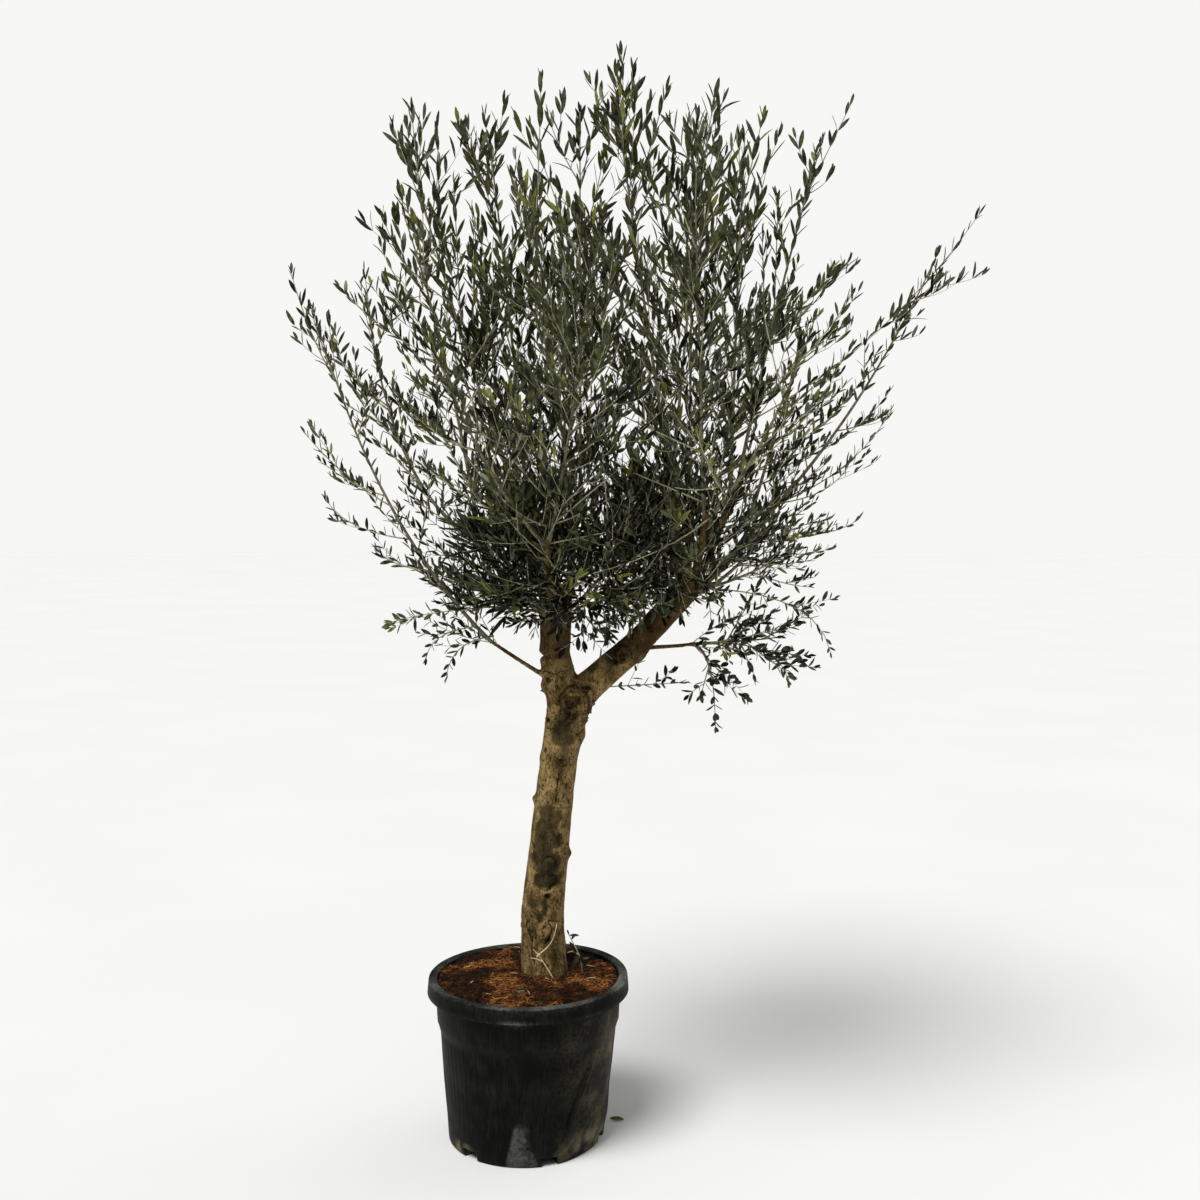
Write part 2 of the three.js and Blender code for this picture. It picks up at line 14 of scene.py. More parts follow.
import bpy
import numpy as np
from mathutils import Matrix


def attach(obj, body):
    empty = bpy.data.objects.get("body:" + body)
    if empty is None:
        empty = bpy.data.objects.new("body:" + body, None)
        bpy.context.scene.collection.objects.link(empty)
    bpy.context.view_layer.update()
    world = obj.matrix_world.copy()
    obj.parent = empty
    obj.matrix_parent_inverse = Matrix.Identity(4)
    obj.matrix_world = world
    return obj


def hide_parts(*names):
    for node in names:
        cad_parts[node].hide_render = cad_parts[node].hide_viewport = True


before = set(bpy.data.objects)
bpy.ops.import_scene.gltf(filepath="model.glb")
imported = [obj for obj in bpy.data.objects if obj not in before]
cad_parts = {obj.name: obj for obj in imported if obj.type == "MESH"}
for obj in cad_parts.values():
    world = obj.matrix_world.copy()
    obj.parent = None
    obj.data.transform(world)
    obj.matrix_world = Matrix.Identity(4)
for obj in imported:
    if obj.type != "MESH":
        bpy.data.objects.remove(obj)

log = logging.getLogger("olive_tree")

MM = 0.001
BODY = "root"
UP = np.array([0.0, 0.0, 1.0])

Array = np.ndarray
Pair = tuple[float, float]
Place = tuple[float, float, float]
Tree = bpy.types.NodeTree
Socket = bpy.types.NodeSocket


# ---- Small sums ----


def unit(vectors: Array) -> Array:
    """Vectors, or one vector, at length 1."""
    return vectors / np.maximum(np.linalg.norm(vectors, axis=-1, keepdims=True), 1e-9)


def smooth_step(low: float, high: float, value: Array) -> Array:
    """0 below low, 1 above high, and an even swing between them. low may be the larger of the two."""
    share = np.clip((value - low) / (high - low), 0.0, 1.0)
    return share * share * (3.0 - 2.0 * share)


def bump(distance: Array, width: float) -> Array:
    """A bell of height 1 that has died away at about twice its width."""
    return np.exp(-((distance / width) ** 2))


def bearing_gap(bearings: Array, centre: float) -> Array:
    """Signed degrees from a centre bearing, between -180 and 180."""
    return (bearings - centre + 180.0) % 360.0 - 180.0


def bump_at(bearings: Array, centre: float, width: float) -> Array:
    """A bell of height 1 round a bearing, its width in degrees."""
    return bump(bearing_gap(bearings, centre), width)


def way_to(bearing: float) -> Array:
    """The level direction at a bearing."""
    return np.array([math.cos(math.radians(bearing)), math.sin(math.radians(bearing)), 0.0])


def lattice_value(cells: Array, seed: int) -> Array:
    """A fixed pseudo-random number from -1 to 1 for each whole-numbered cell.

    Args:
        cells: Whole lattice places.
        seed: Which pattern.

    Returns:
        A value for each, from -1 to 1.
    """
    mixed = cells[..., 0] * 73856093 ^ cells[..., 1] * 19349663 ^ cells[..., 2] * 83492791 ^ seed * 2654435
    mixed = (mixed ^ (mixed >> 13)) * 1274126177 & 0x7FFFFFFF
    return (mixed ^ (mixed >> 11)) % 20011 / 10005.5 - 1.0


def clouds(points: Array, size: float, seed: int, octaves: int = 2) -> Array:
    """Soft noise from about -1 to 1.

    Args:
        points: Places, in millimetres.
        size: The distance between one swelling and the next, in millimetres.
        seed: Which of the endless noises this is.
        octaves: How many finer noises, each half as strong and half as large, lie on top.

    Returns:
        One value for each point.
    """
    total = np.zeros(len(points))
    for octave in range(octaves):
        place = points / (size / 2.0**octave)
        cell = np.floor(place).astype(np.int64)
        share = place - cell
        share = share * share * (3.0 - 2.0 * share)
        value = np.zeros(len(points))
        for corner in np.ndindex(2, 2, 2):
            weight = np.prod(np.where(np.array(corner) == 1, share, 1.0 - share), axis=1)
            value += weight * lattice_value(cell + np.array(corner), seed + octave)
        total += value / 2.0**octave
    return total


# ---- Lines and meshes ----


class Path:
    """A line through space, read by the share of its length."""

    def __init__(self, points: Array) -> None:
        """Measures the line through these points.

        Args:
            points: Places along the line, from its root.
        """
        self.points = np.asarray(points, float)
        steps = np.linalg.norm(np.diff(self.points, axis=0), axis=1)
        reached = np.concatenate([[0.0], np.cumsum(steps)])
        self.length = float(reached[-1])
        self.shares = reached / self.length

    @classmethod
    def bent(cls, start: Array, bend: Array, tip: Array, steps: int = 40) -> "Path":
        """One even arch from start to tip, drawn towards bend (a quadratic Bezier curve)."""
        t = np.linspace(0.0, 1.0, steps + 1)[:, None]
        return cls((1 - t) ** 2 * start + 2 * t * (1 - t) * bend + t**2 * tip)

    @classmethod
    def arched(cls, start: Array, reach: Sequence[float], arch: float) -> "Path":
        """A limb's line: arch says how far it runs outwards (over 0.5) or upwards before it turns.

        Args:
            start: Its root.
            reach: From the root to the tip.
            arch: Its lift, as a share of its length.

        Returns:
            The line.
        """
        across, back, up = reach
        bend = start + np.array([across * arch, back * arch, up * (1.0 - arch)])
        return cls.bent(start, bend, start + np.array(reach, float))

    @classmethod
    def turning(cls, root: Array, direction: Array, length: float, lift: float) -> "Path":
        """A shoot's line: it sets out in a direction and turns up (or, below 0, down) by its lift.

        Args:
            root: Its root.
            direction: The way it sets off.
            length: Its length.
            lift: How far it turns up.

        Returns:
            The line.
        """
        end = unit(direction + UP * lift)
        bend = root + direction * length / 2.0
        return cls.bent(root, bend, bend + end * length / 2.0, 16)

    @classmethod
    def through(cls, places: Sequence[Sequence[float]], steps: int = 12) -> "Path":
        """A smooth line through a few places.

        Args:
            places: The places.
            steps: Points from each place to the next.

        Returns:
            The line.
        """
        spots = np.array(places, float)
        ends = np.vstack([2 * spots[0] - spots[1], spots, 2 * spots[-1] - spots[-2]])
        t = np.linspace(0.0, 1.0, steps, endpoint=False)[:, None]
        runs = []
        for a, b, c, d in zip(ends, ends[1:], ends[2:], ends[3:]):
            runs.append(b + 0.5 * t * (c - a + t * (2 * a - 5 * b + 4 * c - d + t * (3 * (b - c) + d - a))))
        return cls(np.vstack([*runs, spots[-1:]]))

    def at(self, share: Array | float) -> Array:
        """The point, or points, at a share of the length."""
        return np.stack([np.interp(share, self.shares, axis) for axis in self.points.T], axis=-1)

    def tangent(self, share: Array | float) -> Array:
        """The direction, or directions, at a share of the length."""
        share = np.asarray(share, float)
        return unit(self.at(np.minimum(share + 0.03, 1.0)) - self.at(np.maximum(share - 0.03, 0.0)))

    def part(self, start: float, end: float) -> "Path":
        """The stretch between two shares of the length."""
        return Path(self.at(np.linspace(start, end, 24)))


def taper(radii: Sequence[float]) -> Callable[[Array], Array]:
    """The radius along a limb, from its radii at even steps."""
    steps = np.linspace(0.0, 1.0, len(radii))
    return lambda share: np.interp(share, steps, radii)


def across_twig(tangents: Array) -> tuple[Array, Array]:
    """Two directions across a twig: level, and square to that.

    Args:
        tangents: The twig's directions.

    Returns:
        The two directions.
    """
    level = np.cross(tangents, UP)
    weak = np.linalg.norm(level, axis=-1, keepdims=True) < 1e-3
    level = unit(np.where(weak, np.array([1.0, 0.0, 0.0]), level))
    return level, np.cross(level, tangents)


def turned_from(tangents: Array, angle: Array, bearing: Array) -> tuple[Array, Array]:
    """A side of a twig and a direction that leans from the twig towards that side.

    Args:
        tangents: The twig's direction, or directions.
        angle: Degrees between the twig and the new direction.
        bearing: Degrees round the twig.

    Returns:
        The side and the leaning direction.
    """
    level, square = across_twig(tangents)
    angle, bearing = (np.radians(np.asarray(x, float))[..., None] for x in (angle, bearing))
    side = level * np.cos(bearing) + square * np.sin(bearing)
    return side, tangents * np.cos(angle) + side * np.sin(angle)


class Batch:
    """Points and faces that are gathered in millimetres for one piece."""

    def __init__(self) -> None:
        """Starts with nothing in it."""
        self.points: list[Array] = []
        self.faces: list[Array] = []
        self.slots: list[Array] = []
        self.total = 0

    def add(self, points: Array, faces: Iterable[Array], slots: Iterable[Array | int]) -> None:
        """Adds points with their faces.

        Args:
            points: Places, one row each.
            faces: Arrays of faces with the same number of corners, counted from the first of these points.
            slots: For each array, its material slot, or one for each face.
        """
        for kind, slot in zip(faces, slots):
            self.faces.append(np.asarray(kind) + self.total)
            self.slots.append(np.broadcast_to(slot, len(kind)))
        self.points.append(points)
        self.total += len(points)

    def tube(self, path: Path, radii: Array, sides: int, rings: int, slot: int = 0) -> None:
        """Adds a closed limb with a slightly domed end.

        Args:
            path: Its middle line.
            radii: Its radius at each ring, or a radius for each ring and side.
            sides: Faces round it.
            rings: Stretches along it.
            slot: Its material slot.
        """
        shares = np.linspace(0.0, 1.0, rings + 1)
        centres, tangents = path.at(shares), path.tangent(shares)
        guide = np.eye(3)[np.argmin(np.abs(tangents.mean(axis=0)))]
        level = unit(np.cross(tangents, guide))
        square = np.cross(tangents, level)
        turn = np.linspace(0.0, 2 * np.pi, sides, endpoint=False)
        radii = np.broadcast_to(np.asarray(radii, float).reshape(rings + 1, -1), (rings + 1, sides))
        spokes = np.cos(turn)[None, :, None] * level[:, None] + np.sin(turn)[None, :, None] * square[:, None]
        points = (centres[:, None] + spokes * radii[..., None]).reshape(-1, 3)
        dome = 0.5 * radii[-1].mean()
        points = np.vstack([points, centres[:1], centres[-1:] + tangents[-1:] * dome])
        quads, fans = tube_faces(sides, rings)
        self.add(points, [quads, fans], [slot, slot])

    def mesh(self, name: str) -> bpy.types.Mesh:
        """A Blender mesh of all that was added, in metres.

        Args:
            name: The mesh's name.

        Returns:
            The mesh.
        """
        points = np.vstack(self.points) * MM
        corners = np.concatenate([kind.ravel() for kind in self.faces]).astype(np.int32)
        counts = np.concatenate([np.full(len(kind), kind.shape[1]) for kind in self.faces])
        mesh = bpy.data.meshes.new(name)
        mesh.vertices.add(len(points))
        mesh.vertices.foreach_set("co", points.astype(np.float32).ravel())
        mesh.loops.add(len(corners))
        mesh.loops.foreach_set("vertex_index", corners)
        mesh.polygons.add(len(counts))
        mesh.polygons.foreach_set("loop_start", (np.cumsum(counts) - counts).astype(np.int32))
        mesh.polygons.foreach_set("material_index", np.concatenate(self.slots).astype(np.int32))
        mesh.polygons.foreach_set("use_smooth", np.ones(len(counts), bool))
        mesh.update(calc_edges=True)
        return mesh

    def piece(self, name: str, finishes: Sequence["Finish"], crease: float | None = None) -> bpy.types.Object:
        """An object of all that was added, dressed in its finishes.

        Args:
            name: The piece's name.
            finishes: One finish for each material slot.
            crease: The angle in degrees above which an edge is drawn sharp, if any is.

        Returns:
            The new object, which rides on the tree's body.
        """
        mesh = self.mesh(name)
        if crease is not None:
            mesh.set_sharp_from_angle(angle=math.radians(crease))
        return place(mesh, name, finishes)


def tube_faces(sides: int, rings: int) -> tuple[Array, Array]:
    """The faces of a closed tube: four-cornered ones along it, and a fan at each end.

    Args:
        sides: Faces round it.
        rings: Stretches along it.

    Returns:
        The four-cornered faces and the fans.
    """
    ring, side = np.meshgrid(np.arange(rings), np.arange(sides), indexing="ij")
    here, beside = ring * sides + side, ring * sides + (side + 1) % sides
    quads = np.stack([here, beside, beside + sides, here + sides], axis=-1).reshape(-1, 4)
    first, last = (rings + 1) * sides, (rings + 1) * sides + 1
    side = np.arange(sides)
    beside = (side + 1) % sides
    foot = np.stack([beside, side, np.full(sides, first)], axis=-1)
    head = np.stack([side, beside, np.full(sides, last)], axis=-1) + [rings * sides, rings * sides, 0]
    return quads, np.vstack([foot, head])


def link(name: str, data: bpy.types.ID) -> bpy.types.Object:
    """Puts a mesh, a lamp or a camera in the scene as an object.

    Args:
        name: The object's name.
        data: The mesh, the lamp or the camera.

    Returns:
        The object.
    """
    thing = bpy.data.objects.new(name, data)
    bpy.context.scene.collection.objects.link(thing)
    return thing


def place(mesh: bpy.types.Mesh, name: str, finishes: Sequence["Finish"]) -> bpy.types.Object:
    """Links a mesh as a piece that rides on the tree's body, with its materials.

    Args:
        mesh: The mesh.
        name: The piece's name.
        finishes: One for each material slot.

    Returns:
        The piece.
    """
    mesh.validate()
    for finish in finishes:
        mesh.materials.append(finish.material())
    piece = link(name, mesh)
    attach(piece, BODY)
    log.info("%s: %d faces", name, len(mesh.polygons))
    return piece


def write_values(mesh: bpy.types.Mesh, name: str, values: Array) -> None:
    """Keeps one number for each point of a mesh, for its material to read."""
    layer = mesh.attributes.new(name, "FLOAT", "POINT")
    layer.data.foreach_set("value", np.clip(values, 0.0, 1.0).astype(np.float32))


# ---- Finishes ----


def linear(hex_colour: str) -> tuple[float, float, float, float]:
    """An sRGB hex value as linear red, green, blue and full alpha.

    Args:
        hex_colour: Two hexadecimal digits each for red, green and blue, after a #.

    Returns:
        Red, green, blue and 1.
    """
    parts = [int(hex_colour[i : i + 2], 16) / 255.0 for i in (1, 3, 5)]
    red, green, blue = (p / 12.92 if p <= 0.04045 else ((p + 0.055) / 1.055) ** 2.4 for p in parts)
    return red, green, blue, 1.0


def per_mm(size: float) -> float:
    """The scale of a pattern in object space whose features are this many millimetres across."""
    return 1.0 / (size * MM)


def add_node(
    tree: Tree,
    kind: str,
    settings: dict[str | int, object] | None = None,
    links: dict[str | int, Socket] | None = None,
) -> bpy.types.Node:
    """Adds a shader node.

    Args:
        tree: The node tree that it joins.
        kind: Its type, without the ShaderNode that every type starts with.
        settings: Values by the name of a property, or by the name or number of a socket. The stops of a
            colour ramp are pairs of a place and an sRGB hex value.
        links: The outputs that feed its sockets, by the name or number of the socket.

    Returns:
        The node.
    """
    node = tree.nodes.new(f"ShaderNode{kind}")
    for name, value in (settings or {}).items():
        if name == "stops":
            stops = node.color_ramp.elements
            while len(stops) < len(value):
                stops.new(0.5)
            for stop, (position, colour) in zip(stops, value):
                stop.position, stop.color = position, linear(colour)
        elif isinstance(name, str) and hasattr(node, name):
            setattr(node, name, value)
        else:
            node.inputs[name].default_value = value
    for name, output in (links or {}).items():
        tree.links.new(output, node.inputs[name])
    return node


@dataclass(frozen=True)
class Finish:
    """A surface: what it is made of decides its name, its gloss and how it is drawn."""

    name: str
    roughness: float
    ior: float
    specular: float = 0.5  # 0.5 is a clean surface; dust and bloom take some of its gloss
    sheen: float = field(default=0.0, kw_only=True)  # felt of fine hairs, as under an olive leaf

    def material(self) -> bpy.types.Material:
        """Draws the Blender material the first time, and gives the same one again after that.

        Returns:
            The material.
        """
        known = bpy.data.materials.get(self.name)
        if known:
            return known
        material = bpy.data.materials.new(self.name)
        material.use_nodes = True
        tree = material.node_tree
        tree.nodes.clear()
        gloss = {"Roughness": self.roughness, "IOR": self.ior, "Specular IOR Level": self.specular}
        shader = add_node(tree, "BsdfPrincipled", {**gloss, "Sheen Weight": self.sheen})
        add_node(tree, "OutputMaterial", links={"Surface": shader.outputs["BSDF"]})
        spot = add_node(tree, "TexCoord").outputs["Object"]
        for name, output in zip(("Base Color", "Normal"), self.draw(tree, spot)):
            tree.links.new(output, shader.inputs[name])
        return material

    def draw(self, tree: Tree, spot: Socket) -> tuple[Socket, Socket]:
        """Draws the surface. Each finish has its own way.

        Args:
            tree: The material's nodes.
            spot: The place on the piece.

        Returns:
            The colour, and the relief as a normal.
        """
        raise NotImplementedError


@dataclass(frozen=True)
class MouldedPolypropylene(Finish):
    """Black polypropylene, injection moulded and weathered.

    It is near black and satin, with the chalky grey bloom of sun-aged plastic in upright streaks, pale
    scuffs where containers were stacked, painted highlights along the rim, the stacking step and a lit facet,
    and dried mud at the foot.
    """

    black: str = "#040504"
    bloom: str = "#1a1c17"
    scuff: str = "#7b7d76"
    mud: str = "#686049"
    streak: float = 5.0  # width of a streak, mm
    blotch: float = 55.0  # width of a patch of bloom, mm
    speck: float = 7.0  # width of a speck of mud or chalk, mm
    grain: float = 2.2  # the moulding's fine grain, drawn coarser than its 0.5 mm so that it shows, mm

    def draw(self, tree: Tree, spot: Socket) -> tuple[Socket, Socket]:
        """Streaks and blotches, then scuffs with painted highlights, and mud, where the mesh says.

        Args:
            tree: The material's nodes.
            spot: The place on the piece.

        Returns:
            The colour, and the relief as a normal.
        """
        upright = add_node(tree, "Mapping", {"Scale": (1.0, 1.0, 0.08)}, {"Vector": spot}).outputs[0]
        patterns = (
            (self.streak, {"Detail": 3.0, "Roughness": 0.7}, upright),
            (self.blotch, {"Detail": 4.0}, spot),
            (self.speck, {"Detail": 5.0}, spot),
            (self.grain, {"Detail": 2.0}, spot),
        )
        streaks, blotches, specks, grain = (
            add_node(tree, "TexNoise", {"Scale": per_mm(size), **shape}, {"Vector": place}).outputs["Fac"]
            for size, shape, place in patterns
        )
        both = add_node(tree, "Math", {"operation": "MULTIPLY"}, {0: streaks, 1: blotches}).outputs[0]
        stops = ((0.19, self.black), (0.4, self.bloom))
        colour = add_node(tree, "ValToRGB", {"stops": stops}, {"Fac": both}).outputs["Color"]
        spread = {"operation": "MULTIPLY_ADD", 1: 1.6, 2: -0.75}
        broken = add_node(tree, "Math", spread, {0: specks}).outputs[0]
        masking = {"operation": "MULTIPLY", "use_clamp": True}
        # scuff carries pale scuffs and painted highlights
        for value, tint in (("scuff", self.scuff), ("mud", self.mud)):
            amount = add_node(tree, "Attribute", {"attribute_name": value}).outputs["Fac"]
            summed = add_node(tree, "Math", {"operation": "ADD"}, {0: amount, 1: broken}).outputs[0]
            masked = add_node(tree, "Math", masking, {0: summed, 1: amount}).outputs[0]
            tinting = {"data_type": "RGBA", 7: linear(tint)}
            colour = add_node(tree, "Mix", tinting, {0: masked, 6: colour}).outputs[2]
        relief = add_node(tree, "Bump", {"Strength": 0.25, "Distance": 0.4 * MM}, {"Height": grain})
        return colour, relief.outputs[0]


@dataclass(frozen=True)
class OliveBark(Finish):
    """Young olive bark, grown and not yet furrowed.

    It is tan to olive brown, mottled in upright patches, redder where it is younger, with painted shade
    from the crown over the upper limbs, near black where algae darken the shaded front, and with painted
    shade inside scars, in the creases round them, in pits and round the foot of swellings.
    """

    tan: str = "#b09461"
    olive: str = "#63512c"
    warm: str = "#40290a"
    stain: str = "#1a170b"
    mottle: float = 30.0  # width of a patch of colour, mm
    fleck: float = 8.0  # width of a dark fleck, mm
    fibre: float = 4.2  # width of one fibre of the bark, drawn twice as wide so that it shows, mm
    rings: tuple[tuple[float, str], ...] = (
        (0.0, "#5a4a3c"), (0.1, "#33281e"), (0.17, "#d8cdb8"), (0.25, "#5d5040"),
        (0.32, "#ffffff"), (0.44, "#f0e6d4"), (0.49, "#4c3f30"), (0.56, "#ffffff"),
    )  # across a scar: painted shade in its hollow heart and in the creases round it, and the swollen lip
    cracks: tuple[tuple[float, str], ...] = ((0.0, "#30251a"), (0.06, "#3a2d20"), (0.13, "#ffffff"))
    flecks: tuple[tuple[float, str], ...] = ((0.58, "#ffffff"), (0.66, "#4a3f30"))
    fibres: tuple[tuple[float, str], ...] = ((0.38, "#3f3a31"), (0.54, "#ffffff"))

    def draw(self, tree: Tree, spot: Socket) -> tuple[Socket, Socket]:
        """Mottling first, then warmth and stains, both with painted shade, scars and cracks where the mesh
        says, with fibres over all.

        Args:
            tree: The material's nodes.
            spot: The place on the piece.

        Returns:
            The colour, and the relief as a normal.
        """
        upright = add_node(tree, "Mapping", {"Scale": (1.0, 1.0, 0.6)}, {"Vector": spot}).outputs[0]
        rough = {"Detail": 5.0, "Roughness": 0.66, "Distortion": 0.5}
        mottle, fleck, fine = (
            add_node(tree, "TexNoise", {"Scale": per_mm(size), **rough}, {"Vector": upright}).outputs["Fac"]
            for size in (self.mottle, self.fleck, self.fibre)
        )
        stops = ((0.39, self.olive), (0.59, self.tan))
        colour = add_node(tree, "ValToRGB", {"stops": stops}, {"Fac": mottle}).outputs["Color"]
        broken = add_node(tree, "Math", {"operation": "MULTIPLY_ADD", 1: 3.2, 2: -1.72}, {0: fine}).outputs[0]
        edging = {"operation": "MULTIPLY_ADD", "use_clamp": True, 1: 1.1}
        # both carry painted shade: from the crown over the upper limbs, and in scar hollows, creases and pits
        for value, tint, strength in (("warm", self.warm, 0.95), ("stain", self.stain, 0.9)):
            amount = add_node(tree, "Attribute", {"attribute_name": value}).outputs["Fac"]
            edged = add_node(tree, "Math", edging, {0: amount, 2: broken}).outputs[0]
            scaled = add_node(tree, "Math", {"operation": "MULTIPLY", 1: strength}, {0: edged}).outputs[0]
            tinting = {"data_type": "RGBA", 7: linear(tint)}
            colour = add_node(tree, "Mix", tinting, {0: scaled, 6: colour}).outputs[2]
        darkened = [(fleck, 0.0, self.flecks), (fine, 0.0, self.fibres)]
        for value, wander, stops in (("ring", 0.16, self.rings), ("crack", 0.12, self.cracks)):
            away = add_node(tree, "Attribute", {"attribute_name": value}).outputs["Fac"]
            wandering = {"operation": "MULTIPLY_ADD", 1: wander}
            shifted = add_node(tree, "Math", wandering, {0: fleck, 2: away}).outputs[0]
            darkened.append((shifted, wander / 2.0, stops))
        for source, start, stops in darkened:
            moved = tuple((place + start, tint) for place, tint in stops)
            ramp = add_node(tree, "ValToRGB", {"stops": moved}, {"Fac": source}).outputs["Color"]
            darkening = {"data_type": "RGBA", "blend_type": "MULTIPLY", 0: 0.9}
            colour = add_node(tree, "Mix", darkening, {6: colour, 7: ramp}).outputs[2]
        relief = add_node(tree, "Bump", {"Strength": 0.8, "Distance": 1.6 * MM}, {"Height": fine})
        return colour, relief.outputs[0]


@dataclass(frozen=True)
class MottledGrowth(Finish):
    """Plain plant matter: twigs, leaves, coir fibres and straw, each grown with two close tones.

    A slight mottle keeps it from looking painted, and a shallow relief breaks its gloss.
    """

    light: str = "#808080"
    dark: str = "#606060"
    mottle: float = 12.0  # width of a fleck, mm
    relief: float = 0.15  # depth of the surface's unevenness, mm

    def draw(self, tree: Tree, spot: Socket) -> tuple[Socket, Socket]:
        """Two tones, and the same pattern as relief.

        Args:
            tree: The material's nodes.
            spot: The place on the piece.

        Returns:
            The colour, and the relief as a normal.
        """
        pattern = {"Scale": per_mm(self.mottle), "Detail": 2.0}
        noise = add_node(tree, "TexNoise", pattern, {"Vector": spot}).outputs["Fac"]
        stops = ((0.36, self.dark), (0.64, self.light))
        tones = add_node(tree, "ValToRGB", {"stops": stops}, {"Fac": noise})
        relief = {"Strength": 0.5, "Distance": self.relief * MM}
        return tones.outputs["Color"], add_node(tree, "Bump", relief, {"Height": noise}).outputs[0]


POLYPROPYLENE = MouldedPolypropylene("black_polypropylene_moulded", 0.55, 1.49, 0.07)
BARK = OliveBark("olive_bark_grown", 0.86, 1.45, 0.14)
COIR_BED = MottledGrowth("coir_and_bark_compost", 0.95, 1.4, 0.2, "#3c2210", "#0f0804", 16.0, 3.0)
COIR_RED = MottledGrowth("coir_fibre_red_brown", 0.9, 1.4, 0.2, "#855128", "#4a2a12")
COIR_WET = MottledGrowth("coir_fibre_damp", 0.9, 1.4, 0.2, "#3b2414", "#1c110a")
COIR_DRY = MottledGrowth("coir_fibre_dry", 0.9, 1.4, 0.2, "#b97f47", "#834c20")
COIR_DARK = MottledGrowth("composted_bark_chips", 0.95, 1.4, 0.2, "#35200f", "#120a05")
STRAW = MottledGrowth("dry_straw", 0.7, 1.45, 0.5, "#e6d6b2", "#c4ad80")
DEAD_WOOD = MottledGrowth("dead_olive_twig", 0.8, 1.45, 0.5, "#e0cfa4", "#b8a278")
TWIG_OLD = MottledGrowth("olive_twig_grey_bark", 0.8, 1.45, 0.3, "#8c856c", "#5c5643", 8.0)
TWIG_YOUNG = MottledGrowth("olive_twig_green_bark", 0.7, 1.45, 0.3, "#c0bca1", "#928f72", 8.0)
TWIG_PALE = MottledGrowth("olive_twig_bare_pale", 0.75, 1.45, 0.3, "#c2bb9f", "#989175", 8.0)
UNDERSIDE = MottledGrowth("olive_leaf_felted_underside", 0.75, 1.4, 0.3, "#61654a", "#2c3019", sheen=0.05)
PAPER = MottledGrowth("seamless_paper", 0.9, 1.45, 0.5, "#e3e3e1", "#e1e1df", 900.0, 0.0)


class Tone(Enum):
    """The tones of a spray's leaves: each has a waxy upper side; the shaded one is darker as painted shade.
    """

    MATURE = MottledGrowth("olive_leaf_mature_waxy", 0.38, 1.46, 0.36, "#50551f", "#2a2e0e")
    # a darker copy of the mature tone, as painted shade
    DEEP = MottledGrowth("olive_leaf_shaded_waxy", 0.38, 1.46, 0.2, "#1c200b", "#0a0c03")
    YOUNG = MottledGrowth("olive_leaf_young_waxy", 0.38, 1.46, 0.36, "#83863b", "#5d6224")


LEAF_FINISHES = (*[tone.value for tone in Tone], UNDERSIDE)


# ---- Container ----


@dataclass(frozen=True)
class Crease:
    """A pleat pressed into the container's thin wall, from its top to its foot."""

    top: Pair  # bearing and height
    foot: Pair
    depth: float
    width: float

    def press(self, bearings: Array, heights: Array, radii: Array) -> Array:
        """How far the wall is pushed out (or, below 0, in) by the pleat.

        Args:
            bearings: Bearings of the points.
            heights: Their heights.
            radii: Their distances from the axis.

        Returns:
            The push at each point.
        """
        share = (self.top[1] - heights) / (self.top[1] - self.foot[1])
        centre = self.top[0] + share * (self.foot[0] - self.top[0])
        gap = np.radians(bearing_gap(bearings, 0.0) - centre) * radii
        ends = smooth_step(-0.08, 0.1, share) * smooth_step(1.08, 0.9, share)
        ridge = 0.6 * bump(gap - 2.0 * self.width, 1.6 * self.width)
        return ends * self.depth * (ridge - bump(gap, self.width))


